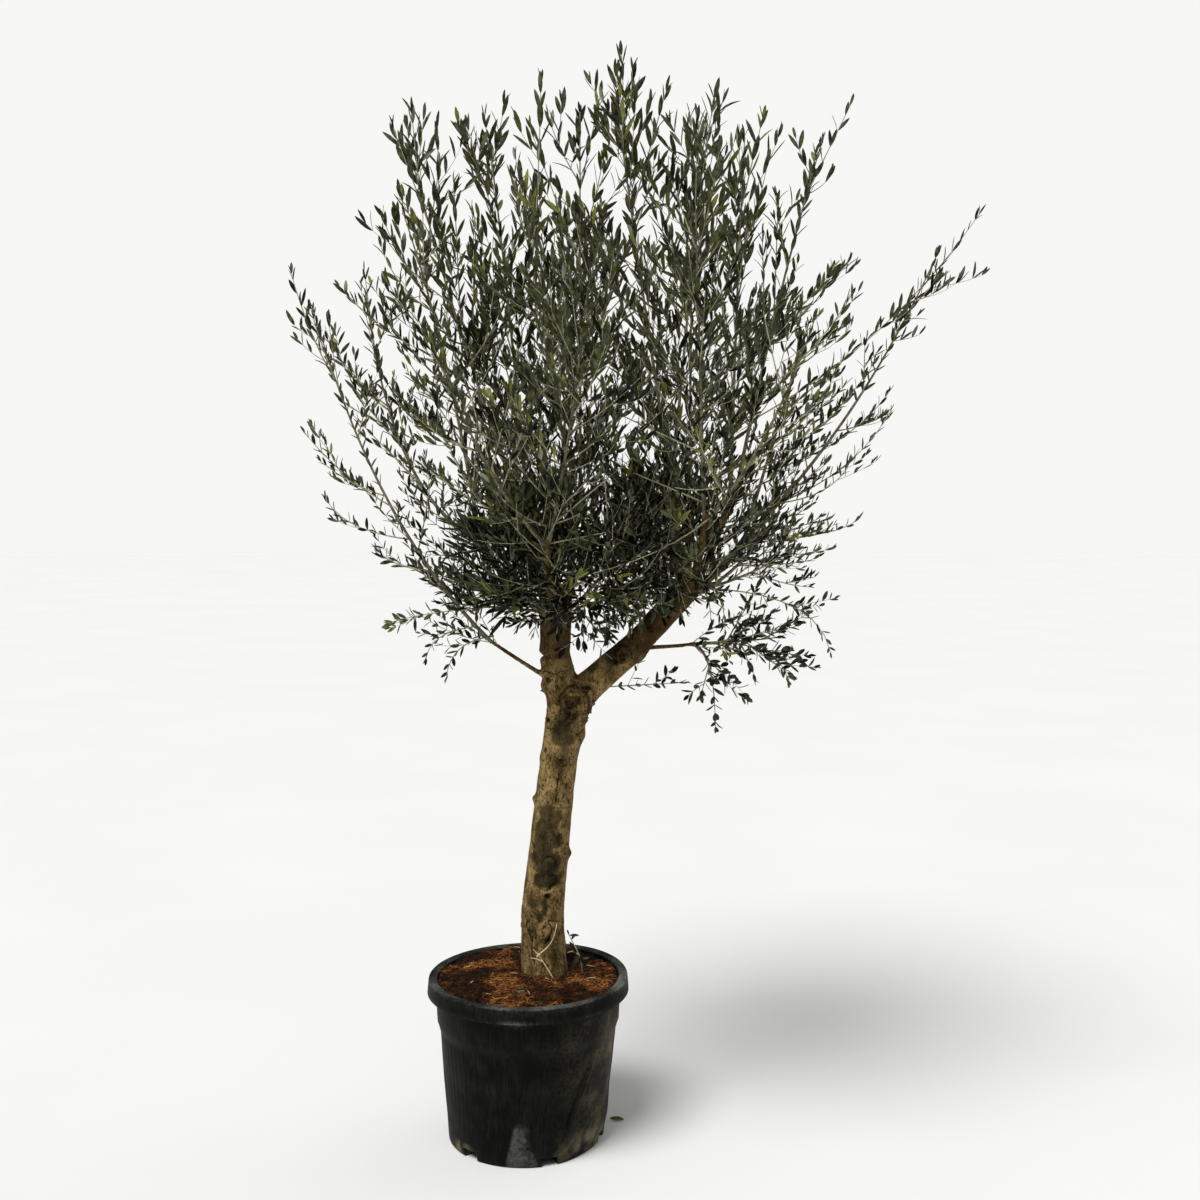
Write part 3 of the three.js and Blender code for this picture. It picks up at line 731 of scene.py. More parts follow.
@dataclass
class Container:
    """The round container: one wall with a stacking step, a turned-down rim and notches at its foot."""

    height: float = 378.0
    wall: float = 3.0
    floor: float = 4.0
    foot_radius: float = 177.0
    body_foot: tuple[float, float] = (183.0, 12.0)  # radius and height
    body_top: tuple[float, float] = (202.0, 258.0)
    collar_foot: tuple[float, float] = (209.0, 280.0)
    collar_top: tuple[float, float] = (212.0, 343.0)
    rim_radius: float = 232.0
    rim_round: float = 5.0
    rim_batter: float = 2.5  # how far the rim's face leans in towards its top
    notches: int = 6
    notch_width: float = 38.0
    notch_height: float = 20.0
    notch_depth: float = 32.0
    first_notch: float = -72.0
    ribs: int = 76  # shallow upright ribs of the body
    rib_depth: float = 0.4
    dent: float = 1.5  # how far the thin wall wanders from round
    crushed_corner: float = 11.0  # how far its foot is pushed in at the front right
    lean: float = 3.0  # how far the lower wall has shifted to -X
    warp: float = 6.0  # how far the rim has risen at the back right
    columns: int = 300
    row_height: float = 5.0
    creases: tuple[Crease, ...] = (
        Crease((-44.0, 222.0), (-61.0, 82.0), 5.0, 4.0),
        Crease((-112.0, 165.0), (-118.0, 60.0), 3.2, 5.0),
        Crease((-80.0, 142.0), (-83.0, 70.0), 2.6, 3.0),
        Crease((-91.0, 206.0), (-91.0, 170.0), 2.4, 2.6),
        Crease((-49.0, 78.0), (-30.0, 62.0), 2.2, 5.0),
        Crease((-93.0, 118.0), (-104.0, 14.0), 1.6, 3.0),
        Crease((-91.0, 118.0), (-89.0, 14.0), 1.6, 3.0),
        Crease((35.0, 200.0), (20.0, 60.0), 2.4, 4.5),
        Crease((110.0, 180.0), (122.0, 70.0), 2.6, 4.0),
        Crease((-170.0, 170.0), (-160.0, 50.0), 2.2, 4.0),
    )

    def bearings(self) -> Array:
        """Bearings of the columns, with two close together at each side of a notch.

        Returns:
            The bearings, in order.
        """
        even = np.arange(self.columns) * 360.0 / self.columns
        half = math.degrees(self.notch_width / 2.0 / self.body_foot[0])
        centres = self.first_notch + np.arange(self.notches) * 360.0 / self.notches
        edges = np.concatenate([centres + side * half for side in (-1, 1)])
        near = np.abs(bearing_gap(even[:, None], 0.0) - bearing_gap(edges[None], 0.0)).min(axis=1)
        kept = even[near > 0.6]
        return np.sort(np.concatenate([kept, *[(edges + side * 0.15) % 360.0 for side in (-1, 1)]]))

    def in_notch(self, bearings: Array) -> Array:
        """True for the bearings that lie within a notch.

        Args:
            bearings: Bearings of the points.

        Returns:
            True or false for each.
        """
        pitch = 360.0 / self.notches
        gap = (bearings - self.first_notch + pitch / 2.0) % pitch - pitch / 2.0
        return np.abs(np.radians(gap)) * self.body_foot[0] < self.notch_width / 2.0

    def outline(self) -> Array:
        """Radius and height round the wall's section, from the middle of the underside to that inside.

        Returns:
            A row of radius and height for each point.
        """
        inner = self.foot_radius - self.notch_depth + 6.0
        foot = self.foot_radius
        corner = [(foot + 6.0 * math.sin(a), 6.0 - 6.0 * math.cos(a)) for a in np.radians([30, 60])]
        body = np.arange(self.body_foot[1], self.body_top[1], self.row_height)
        slope = (self.body_top[0] - self.body_foot[0]) / (self.body_top[1] - self.body_foot[1])
        wall = [(self.body_foot[0] + slope * (z - self.body_foot[1]), z) for z in body]
        rim_foot = self.collar_top[1]
        centre = (self.rim_radius - self.rim_batter - self.rim_round, self.height - self.rim_round)
        arc = [
            (centre[0] + self.rim_round * math.cos(a), centre[1] + self.rim_round * math.sin(a))
            for a in np.radians(np.linspace(0, 90, 6))
        ]
        lip = self.collar_top[0]
        outside = [
            (0.0, 0.0), (80.0, 0.0), (inner - 1.0, 0.0), (inner, 0.0), (self.foot_radius - 10.0, 0.0),
            (self.foot_radius, 0.0), *corner, *wall, self.body_top,
            (self.body_top[0] + 1.2, self.body_top[1] + 3.0),
            (self.collar_foot[0] - 1.2, self.collar_foot[1] - 3.0), self.collar_foot,
            (self.collar_foot[0] + 1.0, 300.0), (self.collar_foot[0] + 2.0, 322.0), self.collar_top,
            (lip + 2.0, self.height - 10.0), (self.rim_radius - 6.0, self.height - 10.0),
            (self.rim_radius - 4.0, rim_foot + 3.0), (self.rim_radius - 3.4, rim_foot + 0.4),
            (self.rim_radius - 1.0, rim_foot), (self.rim_radius, rim_foot + 1.5),
            (self.rim_radius - 0.8, rim_foot + 12.0),
        ]  # fmt: skip
        inside = [
            (lip + 8.0, self.height), (lip + 1.0, self.height - 0.8), (lip - 2.4, self.height - 3.0),
            (lip - 3.0, self.height - 8.0), (lip - self.wall, rim_foot),
            (self.collar_foot[0] - self.wall, self.collar_foot[1]),
            (self.body_top[0] - self.wall, self.body_top[1]),
            (self.body_foot[0] - self.wall, 30.0), (self.body_foot[0] - self.wall - 1.0, 26.0),
            (inner - 6.0, 26.0), (inner - 8.0, self.floor), (0.0, self.floor),
        ]  # fmt: skip
        return np.array(outside + arc + inside)

    def build(self) -> bpy.types.Object:
        """The container's mesh, with the wall's ribs, pleats and dents in its shape.

        Returns:
            The piece.
        """
        section, turns = self.outline(), self.bearings()
        rows, columns = len(section) - 2, len(turns)
        radii, bearings = np.meshgrid(section[1:-1, 0], turns, indexing="ij")
        heights = np.repeat(section[1:-1, 1], columns)
        radii, bearings = radii.ravel(), bearings.ravel()
        row = np.repeat(np.arange(rows), columns)
        outer = row < rows - 12
        turned = np.radians(bearings)
        spot = np.stack([np.cos(turned), np.sin(turned), heights * 0 + 1], -1)
        place_on_wall = spot * np.stack([radii, radii, heights], -1)
        on_body = smooth_step(8.0, 40.0, heights) * smooth_step(262.0, 250.0, heights) * (radii > 176.0)
        on_wall = smooth_step(4.0, 60.0, heights) * smooth_step(345.0, 280.0, heights)
        ribs = self.rib_depth * np.cos(np.radians(bearings * self.ribs))
        ribs = ribs * (0.7 + 0.7 * clouds(place_on_wall, 80.0, 6, 2))
        radii = radii + on_body * ribs + on_wall * self.dent * clouds(place_on_wall, 120.0, 5, 3)
        radii = radii + 0.5 * smooth_step(335.0, 360.0, heights) * clouds(place_on_wall, 90.0, 8, 1)
        crushed = self.crushed_corner * smooth_step(75.0, 5.0, heights) * bump_at(bearings, -30.0, 32.0)
        leaning = self.lean * smooth_step(300.0, 90.0, heights) * np.cos(turned)
        radii = radii - np.where(radii > 176.0, crushed + leaning, 0.0)
        for crease in self.creases:
            radii = radii + np.where(outer, crease.press(bearings, heights, radii), 0.0)
        beyond = section[1:-1, 0].repeat(columns) > self.foot_radius - self.notch_depth
        notched = self.in_notch(bearings) & beyond
        low = np.where(outer, self.notch_height, self.notch_height + self.floor)
        lifted = np.where(notched & (heights < low), low, heights)
        lifted = lifted + self.warp * smooth_step(335.0, 378.0, heights) * bump_at(bearings, 38.0, 44.0)
        points = np.stack([radii * spot[:, 0], radii * spot[:, 1], lifted], -1)
        ends = np.array([[0.0, 0.0, section[0, 1]], [0.0, 0.0, section[-1, 1]]])
        quads, fans = tube_faces(columns, rows - 1)
        batch = Batch()
        batch.add(np.vstack([points, ends]), [quads, fans], [0, 0])
        piece = batch.piece("container", [POLYPROPYLENE], crease=50.0)
        for name, amounts in self.wear(place_on_wall, bearings, heights).items():
            write_values(piece.data, name, np.append(amounts, [0.0, 0.0]))
        return piece

    def wear(self, places: Array, bearings: Array, heights: Array) -> dict[str, Array]:
        """Where the wall is scuffed pale or carries a painted highlight, and where dried mud clings.

        Args:
            places: Places on the wall.
            bearings: Their bearings.
            heights: Their heights.

        Returns:
            Both amounts, by name.
        """
        cloud = clouds(places, 46.0, 21, 3)
        down = np.clip((114.0 - heights) / 104.0, 0.0, 1.0)
        across = bearing_gap(bearings, -92.0) / (4.0 + 8.0 * down)
        # painted light: a lit triangular facet low on the front wall
        lit_facet = smooth_step(1.05, 0.85, np.abs(across)) * smooth_step(0.0, 0.3, down)
        lit_facet = lit_facet * np.clip(0.42 + 0.42 * down - 0.8 * across + 1.5 * cloud, 0.0, 1.0)
        # scuffs with a painted highlight along the rim's top (lip) and its lower edge (skirt)
        lip = smooth_step(371.0, 376.0, heights) * (0.36 + 0.3 * cloud)
        skirt = 0.15 + 0.8 * bump_at(bearings, -94.0, 8.0) + 0.25 * cloud
        skirt = bump(heights - 346.0, 4.0) * skirt
        under_rim = bump(heights - 322.0, 12.0) * bump_at(bearings, -58.0, 16.0) * 0.55
        # painted highlight along the stacking step
        ring = 0.3 * bump(heights - 268.0, 5.0) * smooth_step(-0.3, 0.6, cloud)
        right_lip = 0.6 * bump(heights - 375.0, 5.0) * bump_at(bearings, -14.0, 10.0)
        # scuffs and painted highlights together
        scuff = lip + skirt + ring + right_lip + under_rim * smooth_step(0.0, 0.7, cloud) + 0.5 * lit_facet
        low = smooth_step(90.0, 8.0, heights)
        right = bump_at(bearings, -28.0, 34.0)
        left = bump_at(bearings, -141.0, 9.0) * smooth_step(40.0, 22.0, heights)
        rear = bump_at(bearings, 90.0, 60.0)
        mud = low * (1.2 * right + 0.6 * rear) * (0.7 + 1.3 * cloud) + 1.4 * left * (0.6 + 1.1 * cloud)
        edge = bump_at(bearings, -14.0, 16.0) * smooth_step(40.0, 120.0, heights)
        mud = mud + 0.2 * edge * smooth_step(345.0, 220.0, heights) * (0.7 + cloud)
        film = bump_at(bearings, -34.0, 30.0) * smooth_step(345.0, 315.0, heights)
        mud = mud + 0.42 * film * (0.9 + 0.8 * cloud)
        return {"scuff": scuff, "mud": mud}

    def dress(self) -> None:
        """Puts the container in place of its plain solid."""
        piece = self.build()
        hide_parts("pot")


# ---- Growing medium ----


@dataclass
class GrowingMedium:
    """Coir and composted bark, heaped slightly round the trunk, with fibres, chips and straws on top."""

    edge: float = 372.0
    crown: float = 381.0
    radius: float = 208.0
    trunk: tuple[float, float] = (37.0, 22.0)
    levels: tuple[Pair, ...] = (
        (146.0, 6.0), (146.0, 40.0), (172.0, 60.0), (196.0, 256.0), (205.0, 340.0),
    )  # radius and height of its hidden sides, whose foot keeps clear of the notches
    clod: float = 6.0
    front_dip: float = 11.0  # the heap has settled more at the front
    columns: int = 220
    rows: int = 64
    fibres: int = 5200
    chips: int = 1500
    straws: int = 15
    fibre_sizes: tuple[Pair, ...] = ((9.0, 32.0), (0.35, 0.8))  # length and radius
    straw_sizes: tuple[Pair, ...] = ((14.0, 30.0), (0.6, 1.0))
    seed: int = 11

    def surface(self, spots: Array) -> Array:
        """The height of the heap at places given by X and Y.

        Args:
            spots: The places.

        Returns:
            The heights.
        """
        out = np.linalg.norm(spots, axis=1) / self.radius
        heap = self.edge + (self.crown - self.edge) * smooth_step(1.0, 0.45, out)
        flat = np.column_stack([spots, np.zeros(len(spots))])
        lumps = self.clod * clouds(flat, 38.0, 3, 3) + 3.0 * clouds(flat, 13.0, 4, 2)
        near = bump(np.linalg.norm(spots - np.array(self.trunk), axis=1), 75.0)
        dip = self.front_dip * smooth_step(-60.0, -190.0, spots[:, 1])
        raised = 3.5 * smooth_step(60.0, 170.0, spots[:, 1])
        return heap + raised + lumps * (1.0 - 0.6 * near) - dip - 3.0 * smooth_step(0.93, 1.0, out)

    def bed(self) -> bpy.types.Object:
        """The heap itself, closed below.

        Returns:
            The piece.
        """
        rings = np.linspace(0.02, 1.0, self.rows) ** 0.8
        turn = np.linspace(0.0, 2 * np.pi, self.columns, endpoint=False)
        circle = np.column_stack([np.cos(turn), np.sin(turn)])
        spots = (rings[::-1, None, None] * self.radius * circle).reshape(-1, 2)
        top = np.column_stack([spots, self.surface(spots)])
        side = [np.column_stack([circle * radius, np.full(self.columns, z)]) for radius, z in self.levels]
        middle = np.array([[0.0, 0.0, 6.0], [0.0, 0.0, self.surface(np.zeros((1, 2)))[0]]])
        quads, fans = tube_faces(self.columns, self.rows + len(self.levels) - 1)
        batch = Batch()
        batch.add(np.vstack([*side, top, middle]), [quads, fans], [0, 0])
        return batch.piece("compost", [COIR_BED])

    def scatter(self, rng: np.random.Generator, count: int, reach: float) -> Array:
        """Random places on the heap that keep off the trunk.

        Args:
            rng: The draw.
            count: How many.
            reach: Their greatest distance from the axis.

        Returns:
            A row of X, Y and Z for each.
        """
        out = reach * np.sqrt(rng.random(count * 2))
        turn = rng.random(count * 2) * 2 * np.pi
        spots = np.column_stack([out * np.cos(turn), out * np.sin(turn)])
        clear = np.linalg.norm(spots - np.array(self.trunk), axis=1) > 50.0
        spots = spots[clear][:count]
        return np.column_stack([spots, self.surface(spots)])

    def litter(self) -> bpy.types.Object:
        """Fibres, chips and straws.

        Returns:
            The piece.
        """
        rng = np.random.default_rng(self.seed)
        batch = Batch()
        spots = self.scatter(rng, self.fibres, self.radius - 9.0)
        shade = clouds(spots * [1.0, 1.0, 0.0], 58.0, 13, 3) + 0.22 * rng.normal(size=len(spots))
        shade = shade - 0.5 * smooth_step(-60.0, -170.0, spots[:, 0])
        for spot, tone in zip(spots, np.digitize(shade, [-0.1, 0.32])):
            self.strand(batch, rng, spot, self.fibre_sizes, (3, 0, 4)[tone])
        for spot in self.scatter(rng, self.straws, self.radius - 22.0):
            self.strand(batch, rng, spot + UP * 2.5, self.straw_sizes, 2)
        octahedron = np.vstack([np.eye(3), -np.eye(3)])
        around = np.array([0, 1, 3, 4])
        beside = np.roll(around, -1)
        upper = np.column_stack([around, beside, np.full(4, 2)])
        faces = np.vstack([upper, np.column_stack([beside, around, np.full(4, 5)])])
        for spot in self.scatter(rng, self.chips, self.radius - 8.0):
            turn = np.linalg.qr(rng.normal(size=(3, 3)))[0]
            sizes = rng.uniform(1.2, 4.5, 3) * np.array([1.6, 1.0, 0.5])
            shape = (octahedron * sizes * rng.uniform(0.7, 1.3, (6, 1))) @ turn
            batch.add(spot + shape, [faces], [1])
        return batch.piece("compost_litter", [COIR_RED, COIR_DARK, STRAW, COIR_WET, COIR_DRY])

    def strand(
        self,
        batch: Batch,
        rng: np.random.Generator,
        spot: Array,
        sizes: tuple[Pair, ...],
        slot: int,
    ) -> None:
        """Adds one curled fibre that lies on the heap.

        Args:
            batch: What it is added to.
            rng: The draw that shapes it.
            spot: Its middle.
            sizes: The least and the most length, and the least and the most radius.
            slot: Its material slot.
        """
        length, radius = (rng.uniform(*size) for size in sizes)
        turn = rng.uniform(0.0, 2 * np.pi)
        ahead = np.array([math.cos(turn), math.sin(turn), rng.uniform(-0.25, 0.35)]) * length / 2.0
        aside = np.array([-math.sin(turn), math.cos(turn), 0.0]) * length * rng.uniform(-0.35, 0.35)
        arch = aside + UP * length * rng.uniform(0.02, 0.28)
        path = Path.bent(spot - ahead, spot + arch, spot + ahead, 4)
        batch.tube(path, radius * np.array([0.7, 1.0, 0.9, 0.4]), 3, 3, slot)

    def dress(self) -> None:
        """Puts the growing medium in place of its plain solid."""
        for piece in (self.bed(), self.litter()):
            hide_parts("soil")


# ---- Trunk and limbs ----


@dataclass(frozen=True)
class Limb:
    """A limb as it was planned: what carries it, where, and its reach across, back and up."""

    name: str
    on: str
    seat: float | None  # bearing of its root on the head that carries it, or none on the parent's line
    reach: Place
    arch: float
    radii: tuple[float, ...]
    at: float = 1.0  # share of the parent's length


LIMBS = (
    Limb("bough_left_outer", "bough_left", 195, (-150, -50, 170), 0.6, (11, 10)),
    Limb("bough_left_upright", "bough_left", 135, (-55, 25, 240), 0.4, (11.5, 10)),
    Limb("bough_left_inner", "bough_left", 20, (30, 10, 270), 0.45, (11, 10)),
    Limb("bough_left_back", "bough_left", 78, (-15, 175, 190), 0.6, (11, 10)),
    Limb("bough_left_front", "bough_left", 262, (-10, -175, 170), 0.66, (11, 10)),
    Limb("bough_right_upright", "bough_right", 155, (-25, 0, 270), 0.5, (12, 10)),
    Limb("bough_right_outer", "bough_right", 330, (90, -20, 220), 0.5, (11, 10)),
    Limb("bough_right_spread", "bough_right", 30, (130, 50, 130), 0.6, (11, 10)),
    Limb("bough_right_back", "bough_right", 90, (20, 180, 190), 0.6, (11, 10)),
    Limb("bough_right_front", "bough_right", 272, (30, -175, 170), 0.66, (11, 10)),
    Limb("bough_low_left", "trunk", None, (-160, -35, 108), 0.52, (7, 6), at=0.905),
    Limb("bough_under_right", "bough_right", None, (150, 60, 5), 0.9, (7, 6), at=0.3),
)


@dataclass(frozen=True)
class Scar:
    """A healed cut or burr: a ring of swollen bark round a hollow, or only a swelling."""

    bearing: float
    height: float
    size: float  # radius of the ring
    rise: float
    hollow: float = 0.0
    # painted shade inside its hollow, or round the foot of a swelling
    stain: float = 0.0
    limb: str = "trunk"
    fold: float = 0.0  # strength of the painted shade in the crease round it


@dataclass(frozen=True)
class Stain:
    """A patch of bark darkened by algae."""

    bearing: float
    height: float
    half_width: float
    half_height: float
    depth: float = 1.0


@dataclass
class Wood:
    """Trunk, fork and boughs as one skin of bark, grown over the limbs' own lines and radii."""

    foot: Place = (39, 22, 360)
    bends: tuple[Place, ...] = (
        (33, 20, 500), (38, 18, 565), (46, 16, 650), (64, 12, 810), (81, 10, 950), (83, 9, 1020),
    )
    top: Place = (63, 8, 1118)
    trunk_radii: tuple[float, ...] = (49, 47.5, 44, 43.5, 37)
    flare: float = 4.5
    flare_height: float = 45.0
    crown_level: float = 380.0  # where the trunk leaves the growing medium
    ground: float = 374.0  # the bark runs a little way into the growing medium
    left_start: Place = (60, 8, 1118)
    left_reach: Place = (6, -4, 112)
    left_radii: tuple[float, ...] = (36, 34, 37)
    right_start: Place = (84, 8, 1004)
    right_reach: Place = (286, -16, 277)
    right_radii: tuple[float, ...] = (38, 30, 31)
    collar: float = 0.29  # share of the right fork that belongs to the trunk
    sides: int = 28  # of each plain limb, before the skin is drawn over all
    voxel: float = 3.4
    deepest_seat: float = 12.0
    seat_edge: float = 0.6
    crack_reach: float = 20.0  # the finish reads how far a point is from a crack, as a share of this
    scars: tuple[Scar, ...] = tuple(
        Scar(*row)
        for row in (
            (-54, 1020, 25, 6, 9, 0.6, "trunk", 0.95), (-95, 1048, 9, 2, 4, 0.9, "collar"),
            (-97, 1122, 14, 4, 4, 0.2, "bough_right", 0.6), (-70, 1112, 8, 0.5, 4, 0.9, "bough_right"),
            (-20, 1122, 24, 9, 0.0, 0.4, "bough_right"), (-105, 1185, 7, 1.5, 2, 0.3, "bough_right"),
            (-117, 1130, 8, 2.4, 3, 0.5), (-137, 1066, 8, 2, 3, 0.5), (-77, 1071, 8, 2, 3, 0.5),
            (-102, 1051, 6, 1.2, 2, 0.6), (-112, 1014, 5, 1, 2, 0.6), (-178, 1048, 18, 10, 0.0, 0.3),
            (0, 985, 30, 15, 0.0), (0, 934, 20, 8, 0.0, 0.4), (-149, 972, 8, 2.4, 5, 0.9),
            (-142, 905, 5, 1, 2.5, 0.9), (-79, 878, 14, 2.4, 3.5, 0.7), (-178, 787, 9, 6.5, 0.0, 0.3),
            (-35, 790, 5, 1, 2.5, 0.9), (0, 659, 11, 7.5, 0.0, 0.5), (-85, 638, 16, 2, 0.0),
            (-91, 605, 18, 2.5, 0.0), (-81, 567, 9, 2.4, 4, 1), (-71, 468, 4, 1, 2, 0.9),
            (-113, 442, 5, 1, 2, 0.9), (-86, 428, 4, 0.9, 2, 0.8), (-56, 492, 4, 1, 2, 0.9),
            (-122, 520, 4, 0.8, 2, 0.8), (60, 860, 18, 4, 5, 0.8), (130, 640, 13, 3, 4, 0.7),
            (95, 1010, 20, 4, 5, 0.8), (75, 470, 15, 3, 4, 0.6), (160, 880, 9, 2, 3, 0.7),
        )
    )
    stains: tuple[Stain, ...] = tuple(
        Stain(*row)
        for row in (
            (-88, 940, 25, 31, 0.85), (-94, 882, 25, 32, 0.45), (-98, 752, 30, 31, 0.85),
            (-104, 702, 34, 52, 0.85), (-97, 655, 30, 38, 0.9), (-85, 638, 24, 20, 1),
            (-90, 626, 25, 16, 0.95), (-95, 604, 38, 18, 1), (-112, 562, 22, 34, 0.62),
            (-86, 546, 8, 26, 0.95), (-131, 494, 20, 34, 0.35), (-60, 470, 24, 60, 0.3),
            (-96, 515, 10, 14, 0.8), (-100, 600, 22, 12, 1), (100, 720, 40, 110, 0.75),
            (140, 520, 30, 60, 0.6), (40, 1010, 26, 50, 0.6), (85, 900, 24, 60, 0.6),
        )
    )
    cracks: tuple[tuple[Pair, ...], ...] = (
        ((-85, 854), (-86, 820), (-84, 786)), ((-158, 955), (-140, 954), (-122, 956)),
        ((-157, 820), (-143, 817), (-130, 814)),
        ((-163, 1082), (-135, 1084), (-105, 1080), (-75, 1086), (-50, 1088)),
        ((-60, 948), (-38, 940), (-15, 950)), ((-28, 928), (-8, 915)),
        ((-70, 512), (-52, 508), (-35, 504)), ((-72, 506), (-62, 490), (-70, 470), (-85, 455)),
        ((-108, 492), (-107, 465), (-106, 441)), ((-128, 510), (-140, 495), (-128, 480), (-122, 460)),
        ((-124, 604), (-112, 618), (-100, 614), (-92, 622), (-78, 616), (-62, 618), (-58, 604), (-72, 592)),
        ((-124, 604), (-114, 592), (-98, 586), (-84, 582), (-72, 592)),
        ((-108, 640), (-100, 656), (-84, 662), (-66, 652), (-62, 636)),
        ((-60, 440), (-52, 420), (-62, 398)), ((-56, 420), (-48, 404), (-42, 386)),
        ((-118, 470), (-124, 440), (-116, 410)), ((-38, 470), (-44, 440), (-36, 410)),
        ((70, 780), (74, 720), (69, 680)), ((120, 560), (112, 500), (118, 450)),
    )

    def __post_init__(self) -> None:
        """Lays out every limb's line and radius, as the part's own source does."""
        self.lines: dict[str, Path] = {}
        self.radius_of: dict[str, Callable[[Array], Array]] = {}
        right = Path.arched(np.array(self.right_start, float), self.right_reach, 0.56)
        right_radius = taper(self.right_radii)
        left = Path.arched(np.array(self.left_start, float), self.left_reach, 0.9)
        self.add("trunk", Path.through([self.foot, *self.bends, self.top]), taper(self.trunk_radii))
        self.add("collar", right.part(0.0, self.collar), lambda t: right_radius(t * self.collar))
        self.add("bough_left", left, taper(self.left_radii))
        rest = 1.0 - self.collar
        self.add("bough_right", right.part(self.collar, 1.0), lambda t: right_radius(self.collar + t * rest))
        for limb in LIMBS:
            start = self.seat_of(limb.on, limb.seat, limb.radii[0], limb.at)
            self.add(limb.name, Path.arched(start, limb.reach, limb.arch), taper(limb.radii))

    def add(self, name: str, path: Path, radius: Callable[[Array], Array]) -> None:
        """Keeps a limb's line and radius under its name."""
        self.lines[name] = path
        self.radius_of[name] = radius

    def seat_of(self, on: str, seat: float | None, root_radius: float, at: float = 1.0) -> Array:
        """Where a limb or stem starts: on its parent's line, or just inside the edge of the parent's end.

        Args:
            on: The limb that carries it.
            seat: Its bearing on the end, or none for the line.
            root_radius: Its radius at the root.
            at: Share of the parent's length.

        Returns:
            The place.
        """
        path = self.lines[on]
        start = path.at(at)
        if seat is None:
            return start
        tangent, end_radius = path.tangent(1.0), float(self.radius_of[on](1.0))
        side = way_to(seat)
        side = unit(side - tangent * side.dot(tangent))
        sunk = min(self.deepest_seat, end_radius)
        return start - tangent * sunk + side * (end_radius - root_radius - self.seat_edge)

    def clear_of(self, points: Array, gap: float) -> Array:
        """True for the points that lie further than a gap from every limb's bark.

        Args:
            points: The points.
            gap: The least distance.

        Returns:
            True or false for each.
        """
        clear = np.ones(len(points), bool)
        for name, path in self.lines.items():
            shares = np.linspace(0.0, 1.0, max(6, int(path.length / 12.0)))
            away = np.linalg.norm(points[:, None] - path.at(shares)[None], axis=-1)
            clear &= (away > self.radius_of[name](shares)[None] + gap).all(axis=1)
        return clear

    def blank(self) -> bpy.types.Mesh:
        """The limbs as plain tubes in one mesh, still separate.

        Returns:
            The mesh.
        """
        batch = Batch()
        for name, path in self.lines.items():
            rings = max(8, int(path.length / 14.0))
            shares = np.linspace(0.0, 1.0, rings + 1)
            radii = np.repeat(self.radius_of[name](shares)[:, None], self.sides, axis=1)
            if name == "trunk":
                turn = np.linspace(0.0, 2 * np.pi, self.sides, endpoint=False)
                height = path.at(shares)[:, 2] - self.crown_level
                roots = self.flare * np.exp(-np.maximum(height, -6.0) / self.flare_height)[:, None]
                radii = radii * (1 + 0.025 * np.cos(2 * turn + 3 * shares[:, None]))
                radii = radii + roots * (1 + 0.5 * np.cos(3 * turn))[None]
            if name not in ("trunk", "collar", "bough_left", "bough_right"):
                radii = radii * np.interp(shares, [0.0, 0.12, 1.0], [1.3, 0.92, 0.75])[:, None]
            batch.tube(path, radii, self.sides, rings)
        return batch.mesh("limbs")

    def skin(self) -> tuple[Array, Array]:
        """One closed skin round all limbs, with soft forks: its points in millimetres and its faces.

        Returns:
            The points, a row each, and the four-cornered faces.
        """
        rough = link("limbs", self.blank())
        remesh = rough.modifiers.new("skin", "REMESH")
        remesh.mode, remesh.voxel_size = "VOXEL", self.voxel * MM
        soften = rough.modifiers.new("soften", "SMOOTH")
        soften.factor, soften.iterations = 0.5, 5
        shell = bpy.data.meshes.new_from_object(rough.evaluated_get(bpy.context.evaluated_depsgraph_get()))
        bpy.data.objects.remove(rough)
        points = np.empty(len(shell.vertices) * 3, np.float32)
        shell.vertices.foreach_get("co", points)
        faces = np.empty(len(shell.loops), np.int32)
        shell.loops.foreach_get("vertex_index", faces)
        bpy.data.meshes.remove(shell)
        return points.reshape(-1, 3).astype(float) / MM, faces.reshape(-1, 4)

    def along_limbs(self, points: Array) -> tuple[Array, Array]:
        """For each point, a place on an unrolled limb (round, along, limb's number) and its way out.

        Args:
            points: Places on the bark.

        Returns:
            Both, a row for each point.
        """
        best = np.full(len(points), np.inf)
        unrolled, outward = np.zeros((len(points), 3)), np.zeros((len(points), 3))
        for number, (name, path) in enumerate(self.lines.items()):
            shares = np.linspace(0.0, 1.0, max(8, int(path.length / 9.0)))
            spine, radii = path.at(shares), self.radius_of[name](shares)
            away = points[:, None] - spine[None]
            gaps = np.linalg.norm(away, axis=-1) - radii[None]
            nearest = gaps.argmin(axis=1)
            rows = np.arange(len(points))
            closer = gaps[rows, nearest] < best
            best = np.where(closer, gaps[rows, nearest], best)
            out = away[rows, nearest]
            level, square = across_twig(path.tangent(shares)[nearest])
            turn = np.arctan2((out * square).sum(-1), (out * level).sum(-1))
            round_it = turn * np.maximum(radii[nearest], 1.0)
            far_off = np.full(len(points), 500.0 * number)
            unrolled[closer] = np.column_stack([round_it, shares[nearest] * path.length, far_off])[closer]
            outward[closer] = unit(out)[closer]
        return unrolled, outward

    def mark_point(self, limb: str, bearing: float, height: float) -> Array:
        """The point of a limb's surface at a bearing and a height.

        Args:
            limb: The limb.
            bearing: The bearing.
            height: The height.

        Returns:
            The place.
        """
        path = self.lines[limb]
        share = float(np.interp(height, path.at(path.shares)[:, 2], path.shares))
        return path.at(share) + way_to(bearing) * float(self.radius_of[limb](share))

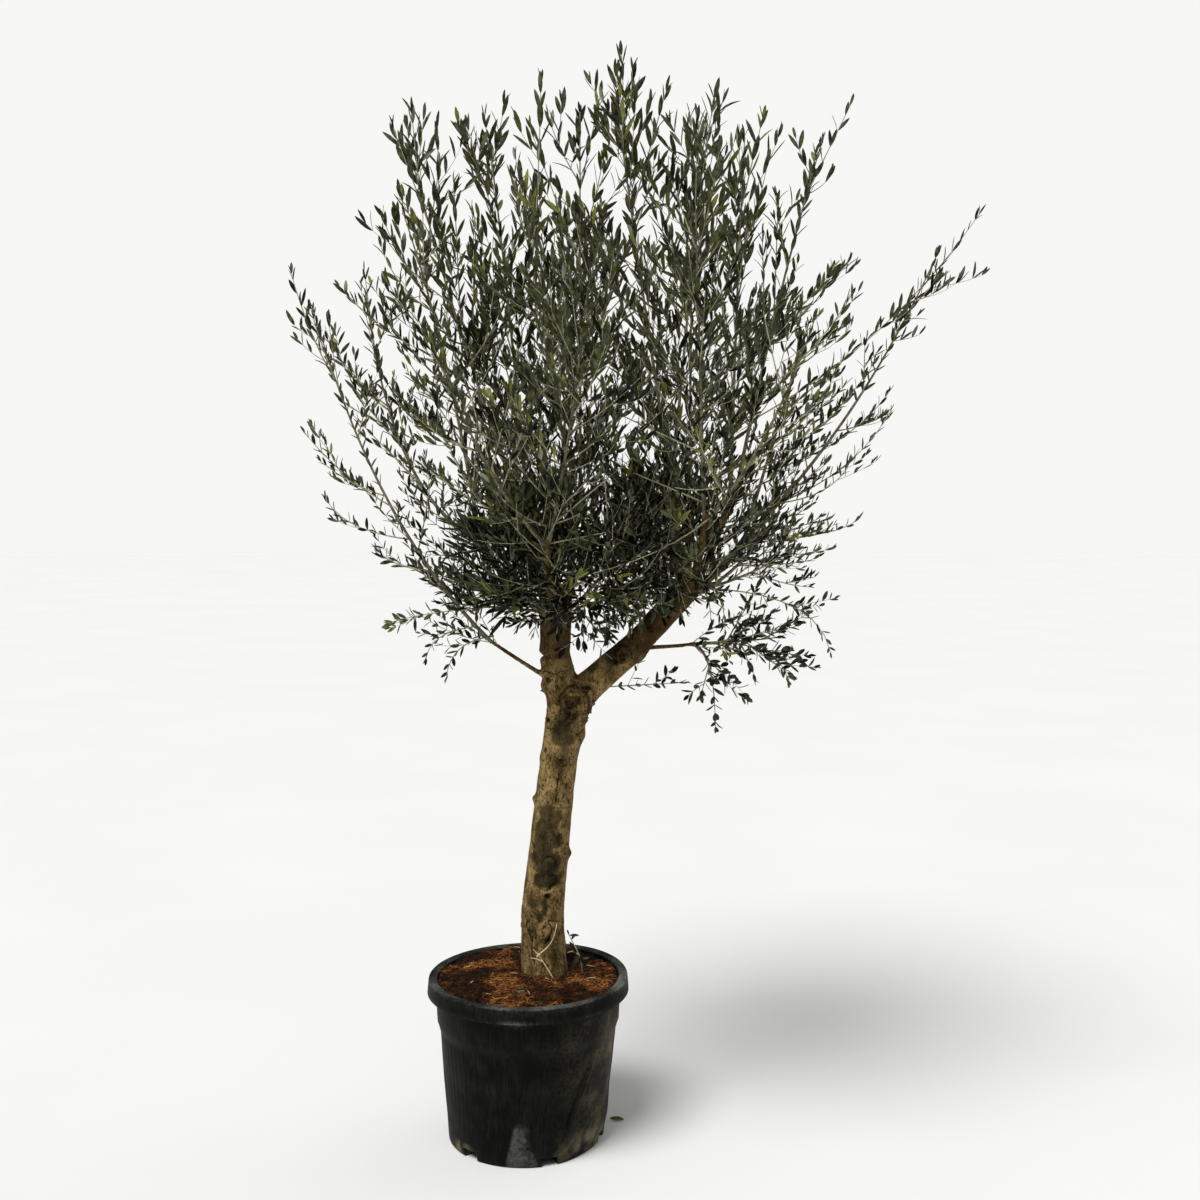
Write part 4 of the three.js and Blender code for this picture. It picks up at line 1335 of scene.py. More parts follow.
    def relief(self, points: Array, rough: Array, grain: Array) -> tuple[Array, dict]:
        """How far the bark stands out at each point, and the values that its finish reads there.

        Args:
            points: Places on the bark.
            rough: How rough it is there.
            grain: The places, drawn out along the grain.

        Returns:
            The heights, and the values by name.
        """
        ridge = 1.0 - np.abs(clouds(grain, 17.0, 31, 3))
        pits = smooth_step(0.55, 1.0, clouds(points, 9.0, 51, 2))
        raised = 1.5 * clouds(points, 62.0, 33, 2) + 0.9 * (ridge - 0.6)
        raised = raised + 0.45 * clouds(grain, 7.0, 35, 2) - 0.9 * pits
        raised = raised + rough * (1.8 * clouds(grain, 13.0, 37, 3) + 1.2 * (ridge - 0.6))
        stain = 0.35 * smooth_step(0.45, 1.0, clouds(points, 26.0, 39, 3))
        # painted shade in the sunken pits
        stain = np.maximum(stain, 0.7 * pits * (0.6 + rough))
        ring, line = np.ones(len(points)), np.ones(len(points))
        ragged = clouds(points, 15.0, 41, 3)
        for scar in self.scars:
            centre = self.mark_point(scar.limb, scar.bearing, scar.height)
            away = np.linalg.norm(points - centre, axis=1)
            if scar.hollow:
                away = away * (1.0 + 0.5 * ragged) + 0.12 * scar.size * ragged
                raised = raised + scar.rise * bump(away - scar.size, 0.32 * scar.size)
                raised = raised - scar.hollow * bump(away, 0.55 * scar.size)
                raised = raised - 0.5 * scar.rise * bump(away - 1.45 * scar.size, 0.16 * scar.size)
                # painted shade: a dark line in the crease round the scar
                fold = np.linalg.norm(points - centre, axis=1) + 1.6 * ragged - 1.3 * scar.size
                stain = np.maximum(stain, scar.fold * bump(fold, 0.14 * scar.size))
                ring = np.minimum(ring, np.maximum(away, 0.0) / (2.0 * scar.size))
                # painted shade inside the hollow
                stain = np.maximum(stain, scar.stain * smooth_step(0.8, 0.4, away / scar.size + 0.3 * ragged))
            else:
                raised = raised + scar.rise * bump(away, scar.size)
                # painted shade round the foot of a swelling
                stain = np.maximum(stain, scar.stain * bump(away - scar.size, 0.5 * scar.size))
        for patch in self.stains:
            offset = points - self.mark_point("trunk", patch.bearing, patch.height)
            wide = np.linalg.norm(offset[:, :2], axis=1) / patch.half_width
            away = np.hypot(wide, offset[:, 2] / patch.half_height)
            stain = np.maximum(stain, patch.depth * smooth_step(1.2, 0.75, away + 0.45 * ragged))
            raised = raised + 0.6 * bump(away, 0.9) * clouds(points, 6.0, 43, 2)
        for crack in self.cracks:
            path = Path.through([self.mark_point("trunk", *spot) for spot in crack], 10)
            away = np.linalg.norm(points[:, None] - path.at(np.linspace(0, 1, 40))[None], axis=-1).min(axis=1)
            raised = raised - 2.4 * bump(away, 3.0)
            line = np.minimum(line, away / self.crack_reach)
        return raised, {"stain": stain, "ring": ring, "crack": line}

    def dress(self) -> None:
        """Grows the bark and puts it in place of the trunk's and the boughs' plain solids."""
        points, faces = self.skin()
        grain, outward = self.along_limbs(points)
        grain = grain * np.array([1.0, 0.32, 1.0])
        height = points[:, 2]
        rough = smooth_step(560.0, 430.0, height)
        raised, values = self.relief(points, rough, grain)
        sturdy = smooth_step(16.0, 34.0, self.girth(points))
        points = points + outward * (raised * (0.25 + 0.75 * sturdy))[:, None]
        points[:, 2] = np.maximum(points[:, 2], self.ground)
        batch = Batch()
        batch.add(points, [faces], [0])
        piece = batch.piece("bark", [BARK])
        cloud = clouds(points, 40.0, 45, 2)
        # the upper limbs under the crown: redder younger bark, darkened as painted shade from the crown
        warm = smooth_step(1078.0, 1130.0, height + 12.0 * cloud)
        values["warm"] = warm * (0.55 + 0.35 * sturdy) * (0.95 + 0.25 * cloud)
        for name, amounts in values.items():
            write_values(piece.data, name, amounts)
        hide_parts("trunk", "bough_left", "bough_right", *[limb.name for limb in LIMBS])

    def girth(self, points: Array) -> Array:
        """The radius of the limb that is nearest to each point.

        Args:
            points: Places on the bark.

        Returns:
            A radius for each.
        """
        best = np.full(len(points), np.inf)
        girth = np.zeros(len(points))
        for name, path in self.lines.items():
            shares = np.linspace(0.0, 1.0, 24)
            radii = self.radius_of[name](shares)
            gaps = np.linalg.norm(points[:, None] - path.at(shares)[None], axis=-1) - radii[None]
            nearest = gaps.argmin(axis=1)
            gap = gaps[np.arange(len(points)), nearest]
            girth = np.where(gap < best, radii[nearest], girth)
            best = np.minimum(best, gap)
        return girth


# ---- Foliage ----


class Lottery:
    """The small generator of the part's source: the same draws from the same seed."""

    def __init__(self, seed: int) -> None:
        """Starts from a mass's own seed."""
        self.state = seed * 2654435761 & 0xFFFFFFFF

    def draw(self) -> float:
        """The next number, from 0 up to 1."""
        self.state = (self.state * 1664525 + 1013904223) & 0xFFFFFFFF
        return self.state / 2**32


@dataclass(frozen=True)
class Mass:
    """A mass of foliage: one stem on its bough's tip, and the shoots that leave it."""

    name: str  # its solid's name, without the foliage_ that each begins with
    on: str
    seat: float
    reach: Place
    arch: float
    spread: float  # length of its longest shoots
    lift: float  # how strongly they turn up
    bare: float  # share of the stem, from its root, without leaves of its own
    shoots: int
    seed: int
    fullness: float = 1.0  # how many fine shoots it bears, against the others
    clothed: float = 0.97  # share of the stem up to which it bears them
    leaf: float = 1.0  # how long its leaves are, against the others


MASSES = (
    Mass("inner", "bough_left", 318, (140, -150, 190), 0.6, 170, 0.3, 0.1, 6, 27, 5.5),
    Mass("inner_right", "bough_right", 235, (-95, -140, 215), 0.5, 170, 0.5, 0.1, 6, 28, 6.2),
    Mass("inner_left", "bough_left", 232, (-90, -95, 170), 0.4, 170, 0.3, 0.15, 5, 29, 4.5, 0.97, 2.2),
    Mass("low_left", "bough_low_left", 180, (-385, -40, 740), 0.66, 185, 0.5, 0.5, 5, 1, 0.18, 0.97, 0.85),
    Mass("left_side", "bough_left_outer", 140, (-260, 120, 560), 0.8, 220, 0.6, 0.5, 4, 2, 0.18, 0.97, 0.82),
    Mass(
        "left_upper", "bough_left_outer", 320, (-150, -110, 700),
        0.4, 230, 0.7, 0.5, 4, 3, 0.32, 0.97, 0.85,
    ),
    Mass("left_skirt", "bough_left", 163, (-225, -120, 30), 0.5, 190, 0.3, 0.25, 4, 4, 0.35),
    Mass("top_left_outer", "bough_left_upright", 200, (-250, -20, 800), 0.56, 230, 0.8, 0.5, 4, 5, 0.75),
    Mass("top_left", "bough_left_upright", 20, (-90, 80, 850), 0.45, 230, 0.8, 0.5, 5, 6, 0.88),
    Mass("top_middle", "bough_left_inner", 60, (0, 40, 865), 0.5, 230, 0.8, 0.5, 5, 7, 0.45, 0.8),
    Mass("front_left_upper", "bough_left_inner", 240, (-110, -200, 640), 0.6, 220, 0.7, 0.3, 4, 8, 0.78),
    Mass("back_left", "bough_left_back", 140, (-270, 220, 480), 0.62, 240, 0.6, 0.4, 4, 9, 0.4),
    Mass("back_middle", "bough_left_back", 320, (60, 170, 760), 0.5, 240, 0.7, 0.4, 5, 10, 1.1),
    Mass("front_left", "bough_left_front", 210, (-190, -230, 360), 0.62, 230, 0.5, 0.2, 4, 11, 0.5),
    Mass("front", "bough_left_front", 30, (90, -200, 560), 0.6, 240, 0.6, 0.15, 5, 12, 2.0),
    Mass("top", "bough_right_upright", 200, (-120, -30, 800), 0.52, 230, 0.9, 0.5, 5, 13, 0.98),
    Mass("top_right_middle", "bough_right_upright", 20, (75, 90, 780), 0.5, 230, 0.8, 0.5, 4, 14, 0.5, 0.75),
    Mass("top_right", "bough_right_outer", 200, (20, -60, 780), 0.4, 230, 0.8, 0.5, 4, 15, 0.5),
    Mass(
        "right_upper", "bough_right_outer", 20, (190, 20, 790),
        0.45, 230, 0.8, 0.5, 5, 16, 0.16, 0.85, 0.88,
    ),
    Mass("right", "bough_right_spread", 110, (160, 120, 500), 0.5, 190, 0.6, 0.4, 4, 17, 0.08, 0.97, 0.8),
    Mass(
        "far_right", "bough_right_spread", 290, (420, -40, 640),
        0.6, 120, 0.45, 0.5, 6, 18, 0.08, 0.25, 0.85,
    ),
    Mass("right_middle", "bough_right", 0, (230, -20, 300), 0.7, 165, 0.35, 0.3, 5, 19, 0.16, 0.97, 0.8),
    Mass("right_low", "bough_right", 300, (210, -180, 110), 0.62, 165, 0.3, 0.25, 4, 20, 0.28, 0.97, 0.85),
    Mass("back_right", "bough_right_back", 40, (210, 220, 460), 0.62, 240, 0.6, 0.4, 4, 21, 0.1, 0.97, 0.82),
    Mass("back_right_upper", "bough_right_back", 220, (10, 90, 720), 0.5, 230, 0.7, 0.5, 4, 22, 1.05),
    Mass(
        "front_right", "bough_right_front", 340, (190, -210, 400),
        0.62, 240, 0.5, 0.2, 5, 23, 0.08, 0.97, 0.8,
    ),
    Mass("front_right_upper", "bough_right_front", 160, (-30, -100, 690), 0.5, 230, 0.7, 0.2, 4, 24, 1.4),
    Mass("lower_right", "bough_under_right", 70, (210, 60, 10), 0.7, 180, 0.1, 0.3, 4, 25, 0.1),
    Mass("hanging", "bough_under_right", 250, (40, -20, -70), 0.8, 100, -0.4, 0.2, 3, 26, 0.1),
)


# The long shoots that stand out of each mass: the share of the stem at which each leaves it, its tip across,
# back and up, its arch where that isn't 0.5, and the limb that bears it where that isn't the mass's stem.
LEADERS: dict[str, tuple[tuple, ...]] = {
    "top": (
        (0.78, 213, -30, 2440), (0.8, 275, -30, 2330), (0.7, 310, -40, 2360), (0.5, 175, -80, 2060),
    ),
    "front_left_upper": ((0.8, 43, -180, 2340, 0.7),),
    "top_left_outer": (
        (0.8, -293, 20, 2295), (0.9, -251, 10, 2325), (0.7, -196, 30, 2300), (0.4, -112, -30, 2070),
        (0.5, -152, -60, 2160), (0.3, -100, 60, 1960), (0.35, -178, -40, 2040),
    ),
    "top_left": (
        (0.85, -99, 130, 2345), (0.4, -122, 40, 2120), (0.25, -105, -20, 1985), (0.7, -155, 100, 2325),
    ),
    "top_right": (
        (0.55, 530, -60, 2200), (0.3, 415, -80, 2030), (0.45, 440, -100, 2060), (0.8, 513, -110, 2285),
    ),
    "top_middle": ((0.6, 10, 40, 2300), (0.8, 166, 50, 2370), (0.9, 114, 80, 2330),),
    "left_upper": (
        (0.45, -290, -120, 1850), (0.3, -268, -100, 1800), (0.15, -300, -60, 1570),
        (0.7, -296, -165, 2005, 0.7),
    ),
    "left_side": (
        (0.5, -420, 70, 1690), (0.15, -320, 40, 1590), (0.02, -275, -30, 1490), (0.3, -390, 20, 1660),
        (0.8, -370, 70, 1990), (0.6, -455, 70, 1835, 0.6),
    ),
    "inner": (
        (0.4, 120, -150, 1300), (0.6, 250, -140, 1225), (0.3, 185, -90, 1165, 0.9),
        (0.4, 230, -110, 1190, 0.9), (0.02, 70, -70, 1175, 0.9), (0.5, 205, -60, 1200, 0.95),
        (0.2, 150, -30, 1175, 0.9), (0.1, -15, -60, 1190, 0.9), (0.2, 20, -80, 1180, 0.9),
        (0.3, 130, -60, 1185, 0.9), (0.4, 160, -90, 1195, 0.9), (0.5, 200, -40, 1200, 0.9),
        (0.2, 115, -100, 1205, 0.9), (0.15, 130, -80, 1150, 0.9),
    ),
    "inner_right": (
        (0.25, 345, -120, 1215), (0.4, 352, -135, 1235), (0.6, 300, -130, 1245), (0.15, 325, -60, 1235),
        (0.5, 372, -100, 1255), (0.5, 215, -100, 1215, 0.95), (0.2, 260, -70, 1195, 0.9),
        (0.5, 225, -60, 1205, 0.9), (0.3, 255, -110, 1210, 0.9), (0.4, 185, -70, 1215, 0.9),
        (0.6, 150, -30, 1210, 0.9), (0.2, 290, -60, 1235, 0.9), (0.3, 235, -120, 1180, 0.9),
        (0.1, 285, -90, 1215, 0.8),
    ),
    "right_upper": (
        (0.5, 560, -10, 2130), (0.4, 520, -60, 2050), (0.85, 715, -20, 2335), (0.7, 638, 0, 2200),
        (0.5, 708, -40, 1988, 0.6), (0.22, 1012, 10, 2108, 0.62), (0.16, 725, -30, 1812, 0.65),
        (0.06, 757, -20, 1750, 0.65),
    ),
    "top_right_middle": ((0.8, 428, 95, 2400), (0.7, 370, 60, 2330),),
    "right": ((0.3, 816, 10, 1714, 0.7), (0.12, 816, -10, 1670, 0.72),),
    "right_middle": (
        (0.75, 722, -30, 1555, 0.8), (0.5, 746, -30, 1432, 0.85), (0.3, 656, -30, 1345, 0.9),
    ),
    "right_low": (
        (0.15, 690, 0, 1125, 0.9), (0.55, 356, -25, 1060, 0.5, "collar"), (0.1, 410, -90, 1215, 0.9),
        (0.2, 440, -110, 1190, 0.9),
    ),
    "lower_right": ((0.3, 610, 120, 1045, 0.9), (0.15, 530, 115, 1050, 0.9),),
    "hanging": ((0.6, 432, 30, 950, 0.8),),
    "inner_left": (
        (0.1, -60, -95, 1280, 0.7), (0.2, -45, -110, 1305, 0.7), (0.05, -72, -85, 1255, 0.7),
        (0.3, -20, -118, 1262, 0.7), (0.15, -38, -100, 1245, 0.7),
    ),
    "left_skirt": ((0.5, -290, -105, 1205, 0.7),),
    "low_left": (
        (0.02, -175, -80, 1080, 0.9), (0.06, -222, -60, 1120, 0.9), (0.25, -330, -60, 1365, 0.8),
        (0.45, -485, -60, 1620, 0.6), (0.35, -440, -65, 1475, 0.8), (0.8, -508, -65, 1965, 0.6),
    ),
}

# The long shoots that have shed their leaves, in the same way.
BARE_LEADERS: dict[str, tuple[tuple, ...]] = {
    "front_right": ((0.02, 150, -215, 1318, 0.35),),
    "front_right_upper": ((0.05, 236, -235, 1530), (0.2, 119, -265, 1690),),
    "front": ((0.08, 232, -240, 1560), (0.0, 178, -220, 1405),),
    "inner_right": ((0.02, 235, -110, 1245, 0.6),),
    "inner": ((0.05, 180, -65, 1188, 0.6),),
    "right_low": ((0.02, 445, -60, 1228, 0.6),),
}


@dataclass
class Growth:
    """A mass as it grows: its stem, its shoots in the order of the source, and its finer shoots."""

    mass: Mass
    stem: Path
    draws: Lottery
    shoots: list[Path] = field(default_factory=list)
    leaders: list[Path] = field(default_factory=list)
    fine: list[Path] = field(default_factory=list)
    twiglets: list[Path] = field(default_factory=list)
    bare: list[Path] = field(default_factory=list)


@dataclass
class LeafShape:
    """An olive leaf: a long lance with a sunken midrib, waxy above and felted below."""

    stations: tuple[float, ...] = (0.12, 0.36, 0.62, 0.86)
    widths: tuple[float, ...] = (0.5, 0.96, 0.98, 0.58)
    fold: float = 0.16  # how far the edges stand above the midrib, for each unit of half width
    thickness: float = 0.6

    def build(
        self,
        batch: Batch,
        tone: Tone,
        roots: Array,
        along: Array,
        facing: Array,
        lengths: Array,
        widths: Array,
        curls: Array,
    ) -> int:
        """Adds many leaves at once.

        Args:
            batch: What they are added to.
            tone: The tone of their upper sides.
            roots: Where each leaf leaves its twig.
            along: The way it points.
            facing: The way its upper side faces.
            lengths: Its length.
            widths: Its greatest width.
            curls: How far its tip bends back, as a share of its length.

        Returns:
            The number of leaves.
        """
        across = unit(np.cross(along, facing))
        facing = np.cross(across, along)
        rows = [roots]
        for station, width in zip(self.stations, self.widths):
            middle = roots + along * (lengths * station)[:, None]
            middle = middle - facing * (curls * lengths * station**2)[:, None]
            half = (widths * width / 2.0)[:, None]
            rise = facing * half * self.fold
            below = facing * self.thickness
            rows += [middle - across * half + rise, middle, middle + across * half + rise, middle - below]
        rows.append(roots + along * lengths[:, None] - facing * (curls * lengths)[:, None])
        points = np.stack(rows, axis=1)
        count, size = points.shape[:2]
        upper, lower = [], []
        for a in range(1, size - 5, 4):
            upper += [[a, a + 1, a + 5, a + 4], [a + 1, a + 2, a + 6, a + 5]]
            lower += [[a + 2, a + 3, a + 7, a + 6], [a + 3, a, a + 4, a + 7]]
        last, tip = size - 5, size - 1
        upper_ends = [[0, 2, 1], [0, 3, 2], [last, last + 1, tip], [last + 1, last + 2, tip]]
        lower_ends = [[0, 4, 3], [0, 1, 4], [last + 2, last + 3, tip], [last + 3, last, tip]]
        shift = (np.arange(count) * size)[:, None, None]
        kinds = (upper, lower, upper_ends, lower_ends)
        faces = [(np.array(kind)[None] + shift).reshape(-1, len(kind[0])) for kind in kinds]
        batch.add(points.reshape(-1, 3), faces, [list(Tone).index(tone), len(Tone)] * 2)
        return count


# Share of these limbs, from the root, without fine shoots.
BARE_LIMBS = {"bough_left": 0.55, "bough_right": 0.5, "bough_low_left": 0.7, "bough_under_right": 0.8}


@dataclass
class Crown:
    """Stems, shoots and leaves, grown by the rule of the part's source and carried on to finer shoots."""

    wood: Wood
    leaf: LeafShape = field(default_factory=LeafShape)
    first_station: float = 0.06
    last_station: float = 0.9
    turn: float = 137.5
    turn_jitter: float = 25.0
    low_angle: float = 62.0
    high_angle: float = 30.0
    tries: int = 8
    clearance: float = 42.0
    limb_gap: float = 5.0
    fine_spacing: float = 62.0  # along a stem, from one fine shoot to the next
    bough_spacing: float = 17.0  # the same along a bough
    bare_twigs: int = 6  # for each mass
    bare_reach: float = 400.0  # none ends further than this from the middle of the crown
    middle: Place = (190.0, 0.0, 1680.0)
    pair_spacing: float = 38.0  # along a shoot, from one pair of the largest leaves to the next
    leaf_length: float = 62.0
    leaf_width: float = 12.3
    base_height: float = 1150.0
    top_height: float = 2480.0

    def grow(self) -> list[Growth]:
        """Every mass with its stem and shoots: first those of the source, then the finer ones.

        Returns:
            The masses with their shoots.
        """
        growths = []
        for mass in MASSES:
            start = self.wood.seat_of(mass.on, mass.seat, 4.4)
            growths.append(Growth(mass, Path.arched(start, mass.reach, mass.arch), Lottery(mass.seed)))
        lines = [(i, growth.stem.at(np.linspace(0, 1, 11))) for i, growth in enumerate(growths)]
        for index in range(max(mass.shoots for mass in MASSES)):
            for owner, growth in enumerate(growths):
                if index < growth.mass.shoots:
                    self.grow_shoot(growth, index, owner, lines)
        for growth in growths:
            self.grow_fine(growth)
        self.grow_leaders(growths)
        self.grow_on_boughs(growths)
        for growth in growths:
            self.grow_twiglets(growth)
            self.grow_bare(growth)
        return growths

    def leaf_scale(self, height: Array | float) -> Array | float:
        """How large leaves are, against the largest: they are small low down, where little light comes."""
        return np.interp(height, [1100.0, 1600.0, 1950.0, 2250.0], [0.5, 0.62, 0.83, 0.93])

    def grow_shoot(self, growth: Growth, index: int, owner: int, lines: list[tuple[int, Array]]) -> None:
        """One shoot by the source's rule, which tries the next bearing where it would crowd its neighbours.

        Args:
            growth: The mass that it belongs to.
            index: Which of the mass's shoots it is.
            owner: The mass's number.
            lines: Every line grown so far, with its owner's number. The new one is added.
        """
        mass = growth.mass
        share = (index + 0.5) / mass.shoots
        station = self.first_station + (self.last_station - self.first_station) * share
        angle = self.low_angle + (self.high_angle - self.low_angle) * share
        length = mass.spread * (1.1 - 0.45 * share) * (0.85 + 0.3 * growth.draws.draw())
        jitter = (growth.draws.draw() - 0.5) * self.turn_jitter
        for attempt in range(self.tries):
            bearing = index * self.turn + jitter + attempt * 360.0 / self.tries
            _, direction = turned_from(growth.stem.tangent(station), angle, bearing)
            shoot = Path.turning(growth.stem.at(station), direction, length, mass.lift)
            line = shoot.at(np.linspace(0, 1, 5))
            if self.free(line[1:], owner, lines):
                growth.shoots.append(shoot)
                lines.append((owner, line))
                return

    def free(self, points: Array, owner: int, lines: list[tuple[int, Array]]) -> bool:
        """True where points keep their clearance from the other masses' lines and from the limbs.

        Args:
            points: The points.
            owner: The number of the mass they belong to.
            lines: The masses' lines, with their numbers.

        Returns:
            Whether they do.
        """
        others = [line for number, line in lines if number != owner]
        starts = np.vstack([line[:-1] for line in others])
        steps = np.vstack([line[1:] - line[:-1] for line in others])
        away = points[:, None] - starts[None]
        share = np.clip((away * steps).sum(-1) / (steps * steps).sum(-1), 0.0, 1.0)
        gaps = np.linalg.norm(away - share[..., None] * steps[None], axis=-1)
        return bool(gaps.min() > self.clearance and self.wood.clear_of(points, self.limb_gap).all())

    def grow_fine(self, growth: Growth) -> None:
        """The finer shoots of a mass: off its stem all along, and a few off its longer shoots.

        Args:
            growth: The mass.
        """
        mass, rng = growth.mass, np.random.default_rng(mass_seed(growth.mass))
        count = round(growth.stem.length * mass.fullness / self.fine_spacing)
        for index in range(count):
            station = 0.04 + (mass.clothed - 0.04) * (index + rng.random()) / count
            length = mass.spread * float(np.interp(station, [0, 0.35, 0.75, 1], [0.6, 1.0, 0.8, 0.4]))
            self.branch(growth, growth.stem, station, length, index, rng)
        for shoot in list(growth.shoots):
            for index in range(2):
                self.branch(growth, shoot, 0.25 + 0.35 * index, shoot.length * 0.5, index, rng)

    def grow_leaders(self, growths: list[Growth]) -> None:
        """The long shoots that stand out of the crown, and those that have shed their leaves.

        Args:
            growths: The masses.
        """
        for growth in growths:
            for table, kept in ((LEADERS, growth.leaders), (BARE_LEADERS, growth.bare)):
                for at, *tip in table.get(growth.mass.name, ()):
                    arch = tip[3] if tip[3:] else 0.5
                    bearer = self.wood.lines[tip[4]] if tip[4:] else growth.stem
                    root = bearer.at(at)
                    kept.append(Path.arched(root, np.array(tip[:3], float) - root, arch))

    def grow_on_boughs(self, growths: list[Growth]) -> None:
        """Fine shoots straight off the boughs, which hide them.

        Args:
            growths: The masses.
        """
        rng = np.random.default_rng(7)
        for limb in ("bough_left", "bough_right", *[limb.name for limb in LIMBS]):
            path = self.wood.lines[limb]
            bearers = [growth for growth in growths if growth.mass.on == limb]
            start = BARE_LIMBS.get(limb, 0.12)
            count = round(path.length * (1.0 - start) / self.bough_spacing)
            for index in range(count):
                station = start + (1.0 - start) * (index + rng.random()) / count
                length = 130.0 if limb in ("bough_left", "bough_right") else 190.0
                self.branch(bearers[index % len(bearers)], path, station, length, index, rng)

    def grow_twiglets(self, growth: Growth) -> None:
        """Short twigs off the shoots, close together low down and few at the top.

        Args:
            growth: The mass.
        """
        rng = np.random.default_rng(5000 + mass_seed(growth.mass))
        for parent in [*growth.shoots, *growth.fine, *growth.leaders]:
            height = parent.at(0.5)[2]
            wanted = float(np.interp(height, [1200.0, 1700.0, 2100.0], [3.2, 2.4, 0.6]))
            wanted = wanted * parent.length / 180.0 * min(growth.mass.fullness, 1.0) ** 0.6
            for index in range(int(wanted + rng.random())):
                self.branch(growth, parent, rng.uniform(0.15, 0.75), 90.0, index, rng, growth.twiglets)

    def grow_bare(self, growth: Growth) -> None:
        """A few old twigs that have shed their leaves, in the lower two thirds of the crown.

        Args:
            growth: The mass.
        """
        rng = np.random.default_rng(9000 + mass_seed(growth.mass))
        twigs: list[Path] = []
        for index in range(self.bare_twigs):
            station = rng.uniform(0.05, 0.7)
            self.branch(growth, growth.stem, station, 250.0, index, rng, twigs)
        for path in twigs:
            offset = path.at(1.0) - np.array(self.middle)
            if np.linalg.norm(offset) < self.bare_reach:
                growth.bare.append(path)

    def branch(
        self,
        growth: Growth,
        parent: Path,
        station: float,
        length: float,
        index: int,
        rng: np.random.Generator,
        kept: list[Path] | None = None,
    ) -> None:
        """Adds one fine shoot, unless it would run into a limb.

        Args:
            growth: The mass that it belongs to.
            parent: What bears it.
            station: The share of the parent's length at which it leaves.
            length: Its length, before chance changes it.
            index: Which one it is, which turns it round its parent.
            rng: The draw that varies it.
            kept: The list that it joins, if that isn't the mass's fine shoots.
        """
        length = length * rng.uniform(0.7, 1.25)
        angle = np.interp(station, [0, 1], [62, 30]) + rng.normal() * 9.0
        bearing = index * self.turn + rng.uniform(-30.0, 30.0)
        root = parent.at(station)
        _, direction = turned_from(parent.tangent(station), angle, bearing)
        outward = (root - np.array(self.middle)) * [1.0, 1.0, 0.0]
        spread = float(np.interp(outward[0], [-500.0, -250.0, 150.0, 420.0], [0.35, 0.0, 0.0, 1.2]))
        spread = spread * float(np.interp(root[2], [1900.0, 2100.0], [1.0, 0.0]))
        direction = unit(direction + spread * unit(outward))
        lift = growth.mass.lift * rng.uniform(0.6, 1.3)
        shoot = Path.turning(root, direction, length, lift)
        if self.wood.clear_of(shoot.at(np.array([0.5, 0.75, 1.0])), 6.0).all():
            (growth.fine if kept is None else kept).append(shoot)

    def leaf_rows(
        self, path: Path, bare: float, longer: float, rng: np.random.Generator
    ) -> dict[str, Array]:
        """The leaves of one shoot: crossed pairs all along, closing to a tuft at the tip.

        Args:
            path: The shoot.
            bare: The share of it, from its root, that carries no leaves.
            longer: How long its leaves are, against the others at that height.
            rng: The draw that varies them.

        Returns:
            Roots, directions, facings, lengths, widths and curls, one row for each leaf.
        """
        height = path.at(0.5)[2]
        scale = float(self.leaf_scale(height))
        pairs = max(2, round((1.0 - bare) * path.length / (self.pair_spacing * scale)))
        place = bare + (1.0 - bare) * (np.arange(pairs) + 0.35) / pairs
        place = np.append(np.repeat(place, 2), [0.995, 0.995])
        node = np.append(np.repeat(np.arange(pairs), 2), [pairs, pairs])
        half = np.tile([0.0, 180.0], pairs + 1)
        kept = rng.random(len(place)) > np.where(place < 0.5, 0.24, 0.08)
        place, node, half = place[kept], node[kept], half[kept]
        bearing = rng.uniform(0, 180) + node * 90.0 + half + rng.normal(size=len(place)) * 14.0
        wide = float(np.interp(height, [1300.0, 2100.0], [14.0, 0.0]))
        angle = np.interp(place, [0, 0.8, 1], [42 + wide, 32 + wide, 14]) + rng.normal(size=len(place)) * 8.0
        tangents = path.tangent(place)
        _, along = turned_from(tangents, angle, bearing)
        upright = float(np.interp(height, [1200.0, 1500.0], [0.05, 0.36]))
        level = 1.0 - np.abs(tangents[:, 2:3])
        along = unit(along + UP * upright * (1.0 + 1.8 * level))
        facing = tangents + UP * 0.35 + rng.normal(size=along.shape) * 0.35
        size = np.interp(place, [0, 0.2, 0.7, 0.92, 1], [0.75, 0.95, 1.0, 0.78, 0.62])
        size = size * scale * rng.uniform(0.78, 1.12, len(place))
        rounder = min(longer, 1.0) ** 0.8 * float(np.interp(height, [1030.0, 1300.0], [1.7, 1.0]))
        return {
            "roots": path.at(place),
            "along": along,
            "facing": facing,
            "lengths": self.leaf_length * longer * size,
            "widths": self.leaf_width * rounder * size**0.7 * rng.uniform(0.8, 1.15, len(place)),
            "curls": rng.normal(size=len(place)) * 0.12 + 0.06,
        }

    def tone_of(self, path: Path, rng: np.random.Generator) -> Tone:
        """The tone of a shoot's leaves, dealt out by spray: darker as painted shade low down, younger at the
        top.

        Args:
            path: The shoot.
            rng: The draw.

        Returns:
            The tone.
        """
        height = (path.at(1.0)[2] - self.base_height) / (self.top_height - self.base_height)
        chance = rng.random()
        # painted shade: low sprays mostly take the darker tone
        if chance < np.interp(height, [0.0, 0.35, 0.8], [0.9, 0.64, 0.16]):
            return Tone.DEEP
        if chance > np.interp(height, [0.0, 0.5, 1.0], [0.97, 0.93, 0.82]):
            return Tone.YOUNG
        return Tone.MATURE

